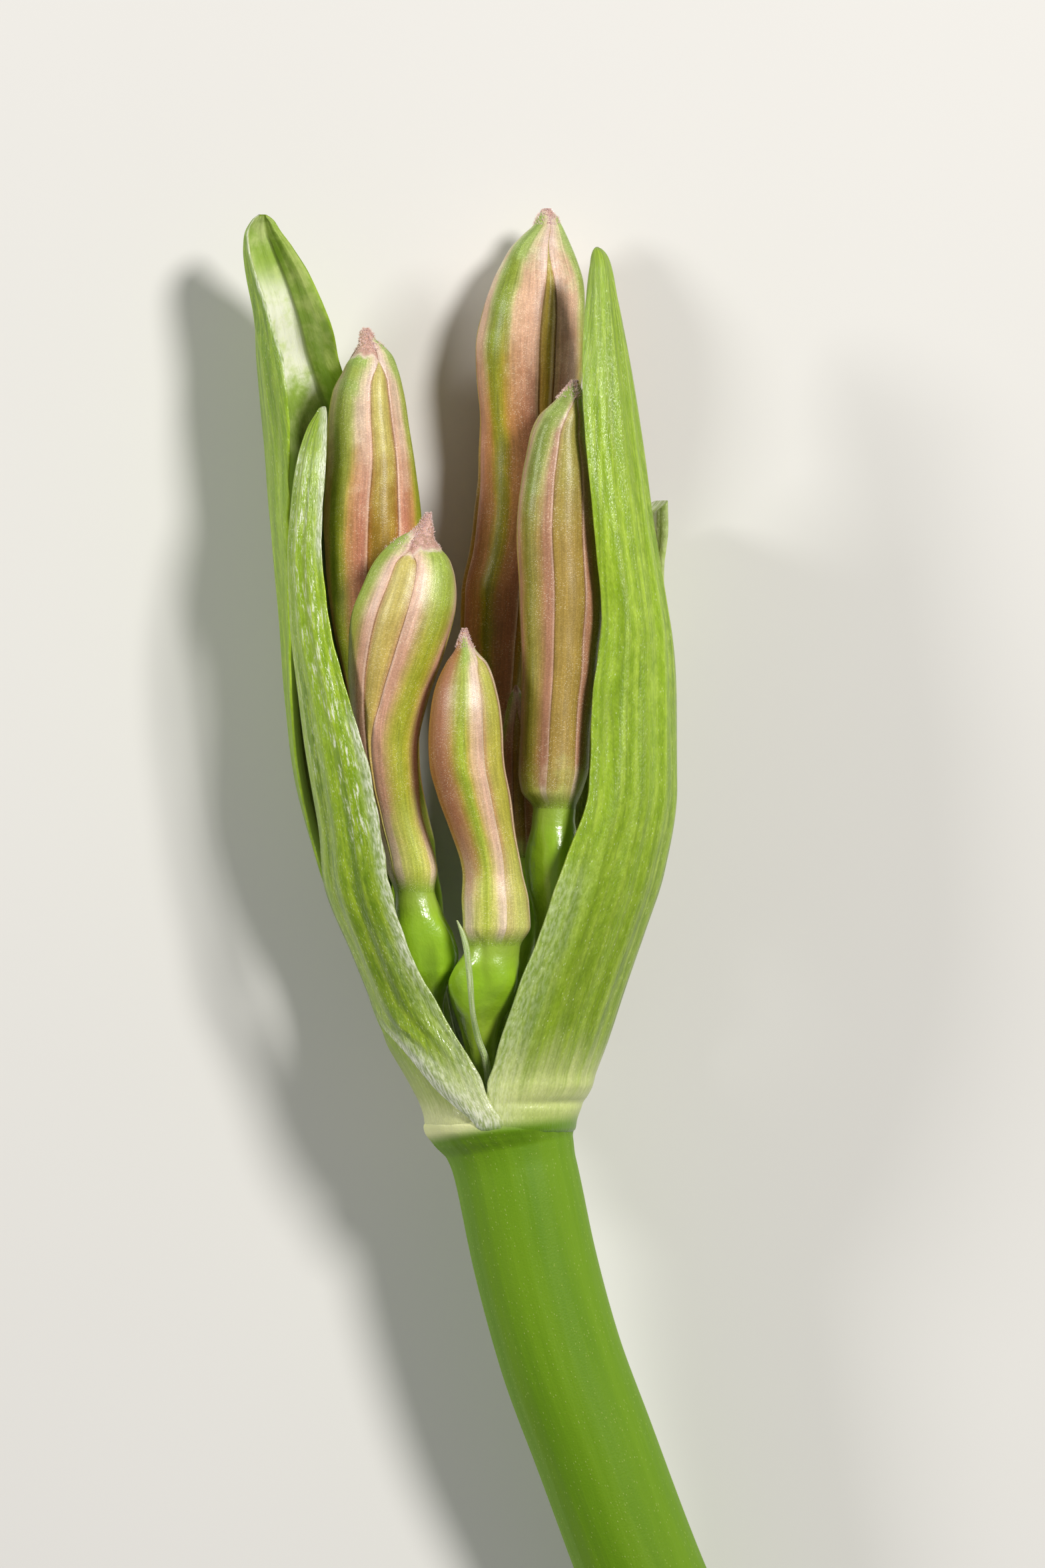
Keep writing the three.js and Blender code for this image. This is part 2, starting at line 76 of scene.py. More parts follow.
scape_low = np.array(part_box("scape")[0]) / MM
tallest_high = np.array(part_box("bud_back_tall")[1]) / MM
head_shift = np.array([
    scape_low[0] - COLLAR_LEFT_X,
    tallest_high[1] - TALLEST_TIP_Y,
    cad_low[2] / MM - REST_Z,
])
room_low = np.array(cad_low) / MM - head_shift + [BOX_CLEARANCE, BOX_CLEARANCE, 0]
room_high = np.array(cad_high) / MM - head_shift - BOX_CLEARANCE
print("head moved by", head_shift.round(3), "mm, floor at", round(float(room_low[2]), 3))

# %% [markdown]
# Leaves, tepals and stems change their width smoothly from base to tip. A few stations hold such a shape, if
# the curve through them never swings past them, as a monotone cubic's doesn't and a Bezier's may.

# %% Smooth steps, curves and heights
def smooth(value, low, high):
    """Smoothstep: 0 below low, 1 above high, and 3t^2 - 2t^3 between, where t goes from 0 to 1."""
    t = np.clip((np.asarray(value, float) - low) / (high - low), 0, 1)
    return t * t * (3 - 2 * t)


def bell(value, middle, width):
    """1 at the middle, and e to the minus t^2 beside it, where t is the distance in widths."""
    return np.exp(-(((value - middle) / width) ** 2))


def through(rows):
    """Monotone cubic through rows of [y, value, value, ...]. The tangent at a row is the harmonic mean of the
    slopes on its two sides, or 0 where they differ in sign, so the curve never overshoots."""
    table = np.array(rows, float)
    heights = table[:, 0]
    values = table[:, 1:]
    span = np.diff(heights)[:, None]
    slope = np.diff(values, axis=0) / span
    agree = slope[:-1] * slope[1:] > 0
    before = np.where(agree, slope[:-1], 1)
    after = np.where(agree, slope[1:], 1)
    total = 3 * (span[:-1] + span[1:])
    mean = total / ((2 * span[1:] + span[:-1]) / before + (span[1:] + 2 * span[:-1]) / after)
    tangent = np.vstack([slope[:1], np.where(agree, mean, 0), slope[-1:]])

    def at(y):
        y = np.asarray(y, float)
        i = np.clip(np.searchsorted(heights, y, side="right") - 1, 0, len(heights) - 2)
        step = span[i]
        t = np.clip((y - heights[i]) / step[..., 0], 0, 1)[..., None]
        rise = (3 - 2 * t) * t**2
        value = values[i] * (1 - rise) + values[i + 1] * rise
        bend = (t - 2 * t**2 + t**3) * tangent[i] + (t**3 - t**2) * tangent[i + 1]
        return np.moveaxis(value + bend * step, -1, 0)

    return at


def levels(base, tip, count, crowd):
    """count heights from base to tip. crowd 0 spaces them evenly, and towards 1 both ends are denser."""
    u = np.linspace(0, 1, count)
    return base + (tip - base) * (u - crowd * np.sin(2 * np.pi * u) / (2 * np.pi))


def stacked(*parts):
    """Arrays of one broadcast shape, laid side by side on a new last axis."""
    return np.stack(np.broadcast_arrays(*parts), axis=-1)


# %% [markdown]
# Nothing that grew is perfectly even. Long sine waves with seeded phases make each piece slightly uneven,
# which shows in how highlights wander along it.

# %% Slight unevenness
WAVES = 7


def unevenness(first, second, seed):
    """Sum of sine waves over two parameters in radians, about -1 to 1, with phases drawn from the seed."""
    draw = np.random.default_rng(seed)
    total = 0
    for _ in range(WAVES):
        turns = draw.integers(1, 5)
        speed = draw.uniform(0.5, 2.4)
        phase = draw.uniform(0, 2 * np.pi)
        total = total + np.sin(turns * first + speed * second + phase)
    return total / np.sqrt(2 * WAVES)


# %% [markdown]
# Every piece is a stack of closed rings: round ones for stems and buds, and for a leaf its whole thin
# section, out over the back and home over the face. Such a stack needs no modifiers and keeps the parameters
# of the surface as numbers on its points, which the finishes read. The two end rings are zipped shut from
# side to side.

# %% From rings to a piece
made_triangles = {}


def linked(name, data):
    """A new object with that data, at the origin of the scene."""
    thing = bpy.data.objects.new(name, data)
    bpy.context.scene.collection.objects.link(thing)
    return thing


def mesh_piece(name, points, faces, finish):
    """A mesh through points in metres, with its finish, in an object of the same name."""
    mesh = bpy.data.meshes.new(name)
    mesh.from_pydata(points, [], faces)
    mesh.materials.append(finish)
    made_triangles[name] = sum(len(face) - 2 for face in faces)
    print(f"{name}: {made_triangles[name]} triangles")
    return linked(name, mesh)


def in_metres(points):
    """Points in head millimetres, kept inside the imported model's box and moved to its place."""
    return np.clip(points, room_low, room_high) * MM + head_shift * MM


def squares(grid):
    """The four corners of every square of a grid, in order round it."""
    corners = np.stack([grid[:-1, :-1], grid[:-1, 1:], grid[1:, 1:], grid[1:, :-1]], axis=2)
    return corners.reshape(-1, 4, *grid.shape[2:])


def piece_from_rings(name, rings, marks, grain, finish, slot, nodes):
    """One closed mesh through rings[level, place round, xyz] in head millimetres.
    marks are numbers for each point, and grain the surface's own millimetres, with one more place round."""
    count, around = rings.shape[:2]
    points = rings.reshape(-1, 3)
    number = np.arange(count * around).reshape(count, around)
    quads = squares(np.hstack([number, number[:, :1]]))
    a, b, c, d = (points[quads[:, n]] for n in range(4))
    volume = np.einsum("ij,ij->", a, np.cross(b, c)) + np.einsum("ij,ij->", a, np.cross(c, d))
    outward = 1 if volume > 0 else -1
    zips = []
    for start, way in ((0, 1), ((count - 1) * around, -1)):
        for near in range(around // 2):
            far = around - near
            corners = dict.fromkeys(start + n % around for n in (near, far, far - 1, near + 1))
            zips.append(list(corners)[::way * outward])
    piece = mesh_piece(name, in_metres(points), quads[:, ::outward].tolist() + zips, finish)
    mesh = piece.data
    flat_grain = grain[:, :-1].reshape(-1, 2)
    uv = np.concatenate([squares(grain)[:, ::outward].reshape(-1, 2), flat_grain[np.concatenate(zips)]])
    mesh.uv_layers.new(name="grain").data.foreach_set("uv", uv.astype(np.float32).ravel())
    for mark, values in marks.items():
        field = mesh.attributes.new(mark, "FLOAT", "POINT")
        field.data.foreach_set("value", np.broadcast_to(values, (count, around)).astype(np.float32).ravel())
    mesh.shade_smooth()
    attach(piece, "root")
    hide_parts(*nodes)


# %% [markdown]
# Each finish is a small tree of nodes. These helpers add a node to the finish at hand, link it and lay
# colours along a ramp. What a node gives out is a wire, and sums written with wires become nodes too.
# Colours are screen codes. The other numbers in the recipes are shares, millimetres or steps of a pattern to
# a millimetre.

# %% Wires and nodes
at_hand = {}


def paint(code):
    """Screen colour such as "8cb010" as the linear numbers that shaders work with."""
    share = np.array(list(bytes.fromhex(code))) / 255
    linear = np.where(share <= 0.04045, share / 12.92, ((share + 0.055) / 1.055) ** 2.4)
    return (*linear.tolist(), 1.0)


def node(kind, inputs, output=0, **settings):
    """A new node and the wire from one of its outputs. Inputs take a wire, a value or a screen colour."""
    tree = at_hand["finish"].node_tree
    made = tree.nodes.new(kind)
    for setting, value in settings.items():
        setattr(made, setting, value)
    for place, value in inputs.items():
        socket = made.inputs[place]
        if isinstance(value, Wire):
            tree.links.new(value.socket, socket)
        else:
            socket.default_value = paint(value) if socket.type == "RGBA" else value
    return Wire(made.outputs[output])


def maths(operation, first, second=0):
    """One step of arithmetic."""
    return node("ShaderNodeMath", {0: first, 1: second}, operation=operation)


class Wire:
    """What a node gives out. Python's own signs between wires and numbers add the arithmetic nodes."""

    def __init__(self, socket):
        self.socket = socket

    __add__ = lambda first, second: maths("ADD", first, second)
    __sub__ = lambda first, second: maths("SUBTRACT", first, second)
    __mul__ = lambda first, second: maths("MULTIPLY", first, second)
    __abs__ = lambda first: maths("ABSOLUTE", first)


# %% Numbers and colours along a surface
def mark_of(name):
    """A number kept on the piece's points."""
    return node("ShaderNodeAttribute", {}, "Fac", attribute_name=name)


def spread(value, low, high, to_low=0, to_high=1):
    """value from low..high laid smoothly onto to_low..to_high."""
    inputs = {"Value": value, "From Min": low, "From Max": high, "To Min": to_low, "To Max": to_high}
    return node("ShaderNodeMapRange", inputs, interpolation_type="SMOOTHSTEP")


def between(value, low, high, soft):
    """1 where value lies between low and high, falling to 0 over soft outside."""
    return spread(value, low - soft, low) * spread(value, high + soft, high)


def ramp(value, stops, tones={}):
    """Colours at places 0 to 1 along a value: screen colours, or names of tones."""
    wire = node("ShaderNodeValToRGB", {"Fac": value})
    band = wire.socket.node.color_ramp
    band.interpolation = "B_SPLINE" if len(stops) > 8 else "EASE"
    while len(band.elements) < len(stops):
        band.elements.new(0.5)
    for element, (place, colour) in zip(band.elements, stops):
        element.position = place
        element.color = paint(tones.get(colour, colour))
    return wire


def blend(share, first, second, way="MIX"):
    """first turned to second by share, or combined with it another way."""
    return node("ShaderNodeMix", {0: share, 6: first, 7: second}, 2, data_type="RGBA", blend_type=way)


def layered(colour, *layers):
    """A colour with others laid over it in turn, each by its share."""
    for share, over in layers:
        colour = blend(share, colour, over)
    return colour


def toned(colour, value, low, high, darkest, lightest):
    """colour made darker or lighter as value goes from low to high."""
    return blend(1, colour, spread(value, low, high, darkest, lightest), "MULTIPLY")


# %% Patterns
def lengthwise(across, along):
    """The surface's own millimetres, with that many pattern steps to one across and along."""
    grain = node("ShaderNodeUVMap", {}, uv_map="grain")
    return node("ShaderNodeMapping", {"Vector": grain, "Scale": (across, along, 1)})


def in_millimetres():
    """The piece's own coordinates in millimetres."""
    place = node("ShaderNodeTexCoord", {}, "Object")
    return node("ShaderNodeMapping", {"Vector": place, "Scale": (1 / MM, 1 / MM, 1 / MM)})


def noise(vector, scale, detail, roughness):
    """Cloudy pattern from 0 to 1."""
    inputs = {"Vector": vector, "Scale": scale, "Detail": detail, "Roughness": roughness}
    return node("ShaderNodeTexNoise", inputs)


def streaky(across, along, detail=3, roughness=0.5):
    """Noise that is drawn out lengthwise."""
    return noise(lengthwise(across, along), 1, detail, roughness)


def cloudy(scale, detail=3, roughness=0.5):
    """Noise with that many clouds to a millimetre."""
    return noise(in_millimetres(), scale, detail, roughness)


def cells(scale, output="Distance", vector=None):
    """Cells like a plant skin's: how far the middle of one is, or its own chance from 0 to 1."""
    found = node("ShaderNodeTexVoronoi", {"Vector": vector or in_millimetres(), "Scale": scale}, output)
    return found if output == "Distance" else node("ShaderNodeSeparateColor", {0: found})


# %% Start and end of a finish
def start_finish(name, roughness, subsurface, coat=0, coat_roughness=0.2, specular=0.5):
    """Puts a new finish at hand, with its shader's constants: how rough, translucent and waxy it is."""
    finish = bpy.data.materials.new(name)
    finish.use_nodes = True
    at_hand["finish"] = finish
    constants = {
        "Roughness": roughness, "Subsurface Weight": subsurface, "Subsurface Radius": (1, 1, 0.35),
        "Subsurface Scale": 0.00025, "Coat Weight": coat, "Coat Roughness": coat_roughness,
        "Specular IOR Level": specular,
    }
    for socket, value in constants.items():
        finish.node_tree.nodes["Principled BSDF"].inputs[socket].default_value = value


def finished(colour, height, bump_mm, more=()):
    """The finish at hand, with a colour, a relief of that height in millimetres and more wires linked in."""
    tree = at_hand["finish"].node_tree
    bump = node("ShaderNodeBump", {"Height": height, "Distance": bump_mm * MM, "Strength": 1})
    wires = {"Base Color": colour, "Normal": bump, "Coat Normal": bump} | dict(more)
    for place, wire in wires.items():
        tree.links.new(wire.socket, tree.nodes["Principled BSDF"].inputs[place])
    return at_hand["finish"]


# %% [markdown]
# ## The buds' finish
# Three outer tepals wrap a bud of this lily, over three inner ones that show as narrow strips. An outer
# tepal is olive green down its middle, then golden, then salmon pink, to a thin light margin. The strips are
# olive gold. Near the neck all of it turns yellow-green, and near the tip the pink grows pale. So four ramps
# lay the colour across, for neck, body, shoulders and tip, with a darker painted shade line where a strip
# meets a tepal's margin. Some buds are darkened as painted shade, all over or on the left flank. Fine domed
# cells give a faint relief, and near-white dots painted on some of them are painted glints.

# %% Tepal skin
NECK_GREEN = "9cba3e"
TEPAL_CELLS = 20


def tepal_skin(name, tones, midrib, neck_rise, painted_shade=0.0, painted_flank_shade=0.0):
    """tones are the bud's own colours, midrib is the green share of a tepal's half-width, neck_rise how high
    its pale neck reaches, painted_shade how far the whole bud is darkened as painted shade, and
    painted_flank_shade how far its left flank is turned red-brown as painted shade."""
    start_finish(name, 0.42, 0.12, coat=0.16, specular=0.42)
    across = mark_of("across") * 0.5
    rise = mark_of("rise")
    streaks = streaky(5.5, 0.25, 4, 0.65)
    cloud = cloudy(0.8, 3, 0.6)
    fuzz = cloudy(5, 3, 0.7)
    wander = (streaks + cloud - 1) * spread(across, 0.48, 0.4) * 0.09 + across
    uneven_rise = (cloud - 0.5) * 0.25 + rise
    hood = (fuzz - 0.5) * 0.7 + mark_of("hood")
    m = midrib / 2
    n = 0.8 * m
    # Painted shade: in the low, high and tip ramps the stop just past 0.5 is a darker brown line where the
    # strip lies in the crease under a tepal's margin.
    low = ramp(wander, [
        (0, "rib"), (n * 0.6, "rib_light"), (n, "gold"), (n * 1.45, "amber"), (0.35, "pink"), (0.45, "pink"),
        (0.485, "hem"), (0.497, "hem"), (0.503, "8c5c34"), (0.53, "strip_side"), (0.68, "strip"),
        (1, "strip"),
    ], tones)
    high = ramp(wander, [
        (0, "rib_high"), (m * 0.7, "rib_high"), (m * 1.1, "cece84"), (m * 1.5, "fair"), (0.4, "fair"),
        (0.48, "hem"), (0.497, "hem"), (0.503, "a0744c"), (0.53, "c2a468"), (0.7, "strip_high"),
        (1, "strip_high"),
    ], tones)
    neck = ramp(wander, [
        (0, "ccd854"), (m, "e0e078"), (0.36, "f4deba"), (0.48, "f6e0c2"),
        (0.503, "d6c87c"), (1, "e0e27e"),
    ])
    tip = ramp(wander, [
        (0, "96b052"), (m * 1.3, "acc068"), (m * 1.8, "d8d09e"), (0.46, "e8cebe"),
        (0.497, "e8cebe"), (0.506, "c4a084"), (0.6, "c8b874"), (1, "c8bc70"),
    ])
    colour = blend(spread(uneven_rise, 0.6, 0.86), low, high)
    colour = blend(spread(uneven_rise, 0.03, neck_rise), neck, colour)
    colour = blend(spread(uneven_rise, 0.86, 0.95), colour, tip)
    colour = blend(spread(rise, 0, 0.05), NECK_GREEN, colour)
    colour = toned(colour, cloud, 0.3, 0.7, 0.9, 1.05)
    colour = toned(colour, streaks, 0.35, 0.68, 0.85, 1.08)
    colour = toned(colour, streaky(16, 0.7, 2), 0.35, 0.65, 0.9, 1.05)
    beak = blend(spread(fuzz, 0.35, 0.65), tones["beak"], "d6aca0")
    layers = [(spread(hood, 0.15, 0.6) * 0.75, "e6d2c2"), (spread(hood, 0.5, 1.05), beak)]
    # Painted shade: the whole bud is laid over with dark olive-brown by this share.
    if painted_shade:
        layers.append((painted_shade, "604628"))
    # Painted shade: the left flank turns red-brown above the neck, on the side that faces away from the light.
    if painted_flank_shade:
        layers.append((mark_of("flank") * spread(uneven_rise, 0.12, 0.38, 0, painted_flank_shade), "a46236"))
    colour = layered(colour, *layers)
    domes = cells(TEPAL_CELLS)
    chance = cells(TEPAL_CELLS, "Color")
    colour = toned(colour, chance, 0, 1, 0.88, 1.08)
    # Painted glints: near-white dots on some of the domed cells, more of them where the cloud is bright.
    painted_glints = spread(chance, 0.6, 0.97) * spread(domes, 0.5, 0.15) * spread(cloud, 0.38, 0.62, 0.15, 1)
    colour = blend(painted_glints * 0.7, colour, "fff8e2")
    return finished(colour, domes * -0.7 + streaks * 1.6, 0.0075)


# %% [markdown]
# ## The buds' shape
# A bud could be cut from six tepals. But they are pressed together so tightly that one closed surface with a
# sharp step at each edge looks the same and has no gaps. Its columns run along the tepals' edges, so the
# steps stay crisp where the strips narrow to a point.

# %% Perianth surface
STRIP_SINK = 0.065
STRIP_BULGE = 0.06
MIDRIB_HEIGHT = 0.04
MARGIN_FALL = 0.03
HOOD_DEPTH = 0.13
BUD_DEPTH_RATIO = 0.95
TUBE_SHARE = 0.3
MIDRIB_DEGREES = 12
CLOSED_EDGE_DEGREES = 59.3
GRAIN_RADIUS = 1.9
LAP = 0.5
LAP_SINK = 0.03


def tepal_places(outer, inner):
    """Places across one tepal and the strip beside it: -1 to 1 over the tepal and 1 to 3 over the strip."""
    over = np.sin(np.linspace(-np.pi / 2, np.pi / 2, outer))
    strip = 2 - np.cos(np.linspace(0, np.pi, inner + 2))[1:-1]
    return np.concatenate([over, [1.012], strip, [2.988]])


def perianth_rings(bud, rows, outer, inner, seed):
    """Each ring is middle + r (sin a, 0.95 cos a), where r is the half-width times 1 plus the tepals' relief.
    a is the place across: edge degrees per tepal half, with some more on the left of a wider one, and what is
    left of 120 degrees for the strip. Where a tepal has ended, r is a hood's depth less, which leaves the
    beak."""
    shape = through(bud["stations"])
    base = bud["neck"]
    tip = bud["stations"][-1][0]
    y = levels(base - LAP, tip, rows, 0.7)[:, None]
    place = np.tile(tepal_places(outer, inner), 3)
    number = np.repeat([0, 1, 2], len(place) // 3)
    following = (number + 1) % 3
    whorl = 120.0 * number
    closing = smooth(y, bud["strip_top"] - bud["strip_taper"], bud["strip_top"]) ** 1.6
    turned, open_edge = through(bud["turn"])(y)
    edge = open_edge + (CLOSED_EDGE_DEGREES - open_edge) * closing
    on_tepal = place <= 1
    wider = np.array(bud.get("wider", [0, 0, 0]))
    left_edge = edge + wider[number] * (1 - closing)
    next_left_edge = edge + wider[following] * (1 - closing)
    strip_offset = edge + (place - 1) * (120 - edge - next_left_edge) / 2
    offset = np.where(on_tepal, place * np.where(place < 0, left_edge, edge), strip_offset)
    middle = np.maximum(np.cos(np.pi / 2 * np.abs(place - 2)), 0)
    rounded = 0.012 * smooth(np.abs(place), 0.93, 1.0)
    outer_relief = MIDRIB_HEIGHT * bell(offset, 0, MIDRIB_DEGREES) - MARGIN_FALL * place**2 - rounded
    inner_relief = STRIP_BULGE * middle**1.5 * (1 - closing) - STRIP_SINK
    opened = smooth(y, base, base + TUBE_SHARE * (tip - base))
    relief = opened * np.where(on_tepal, outer_relief, inner_relief)
    all_ends = np.array(bud["tepal_ends"])
    ends = np.where(on_tepal, all_ends[number], np.minimum(all_ends[number], all_ends[following]))
    ragged = 0.12 * unevenness(np.radians(3 * offset + whorl), 0 * y, seed + 70)
    ragged = ragged - 0.25 * np.minimum(place, 1) ** 2
    hood = smooth(y, ends + ragged - 0.22, ends + ragged + 0.28)
    relief = relief - np.where(on_tepal, HOOD_DEPTH, HOOD_DEPTH - 0.05) * hood
    a = np.radians(offset + whorl + 60 + turned)
    x, half_width, z = shape(y)
    lumps = 0.012 * unevenness(a, y, seed) * smooth(half_width, 0.3, 1.5) * smooth(y, base, base + 2)
    r = half_width * (1 + relief + lumps) * (1 + LAP_SINK * np.minimum(y - base, 0) / LAP)
    marks = {
        "across": np.where(on_tepal, np.abs(place), 2 - np.abs(place - 2)),
        "rise": (y - base) / (tip - base),
        "hood": hood,
        "flank": smooth(-np.sin(a), 0.05, 0.7),
    }
    grain = np.radians(offset + whorl) * GRAIN_RADIUS
    grain = np.hstack([grain, grain[:, :1] + 2 * np.pi * GRAIN_RADIUS])
    return stacked(x + r * np.sin(a), y, z + BUD_DEPTH_RATIO * r * np.cos(a)), marks, stacked(grain, y)


# %% [markdown]
# Under each perianth sits a three-lobed ovary on its pedicel. It is glossy and saturated green, plain and
# smooth, with a paler constriction under the perianth.

# %% Ovary surface and skin
OVARY_LOBE = 0.08
OVARY_GRAIN_RADIUS = 1.2


def ovary_rings(bud, rows, around, seed):
    """The same sections as a bud's, with r times 1 + 0.08 cos 3a between the heights of the swelling."""
    neck = bud["neck"]
    low, high = bud["swell"]
    y = levels(bud["stations"][0][0], neck + LAP, rows, 0.3)[:, None]
    a = np.linspace(0, 2 * np.pi, around + 1)[None, :]
    lobed = smooth(y, low - 1, low + 1) * (1 - smooth(y, high - 1, high))
    x, half_width, z = through(bud["stations"])(y)
    lumps = 0.01 * unevenness(a, y, seed) * smooth(y, neck, neck - 1.5)
    r = half_width * (1 + OVARY_LOBE * lobed * np.cos(3 * a) + lumps)
    r = r * (1 - LAP_SINK * np.maximum(y - neck, 0) / LAP)
    turned = a + np.radians(bud["turn"][0][1])
    rings = stacked(x + r * np.sin(turned), y, z + BUD_DEPTH_RATIO * r * np.cos(turned))
    swelling = smooth(y, low - 1.6, low + 0.2) * (1 - smooth(y, high, high + 1.2))
    marks = {"swelling": swelling, "below_neck": neck - y}
    return rings[:, :-1], marks, stacked(a * OVARY_GRAIN_RADIUS, y)


def ovary_skin():
    """Glossy green flesh, darker and more saturated on the swelling and yellower on the pedicel."""
    start_finish("ovary_skin", 0.3, 0.3, coat=0.7, coat_roughness=0.16, specular=0.6)
    cloud = cloudy(1.3)
    below_neck = mark_of("below_neck")
    colour = layered(
        blend(cloud, "9abc30", "b0ca46"),
        (mark_of("swelling"), blend(cloud, "92be22", "a6ce32")),
        (spread(below_neck, 1.6, 0), NECK_GREEN),
    )
    relief = cells(9) * -0.2 + cloudy(2.2, 3, 0.6) * 2.5 + streaky(5, 0.5)
    roughness = spread(below_neck, 0, 1, 0.42, 0.3)
    wax = spread(below_neck, 0, 1, 0.25, 0.7)
    return finished(colour, relief, 0.014, {"Roughness": roughness, "Coat Weight": wax})


# %% [markdown]
# ## The six buds
# Stations are [y, x, half-width, z], for stalk, ovary and bud in one curve, with the bud above the neck.
# turn is [y, degrees, edge]: which way the first strip faces, and the half angle of an outer tepal. The
# strips close over the last strip_taper below strip_top, and the outer tepals stop at tepal_ends, where the
# beak begins. swell is the ovary's height range.

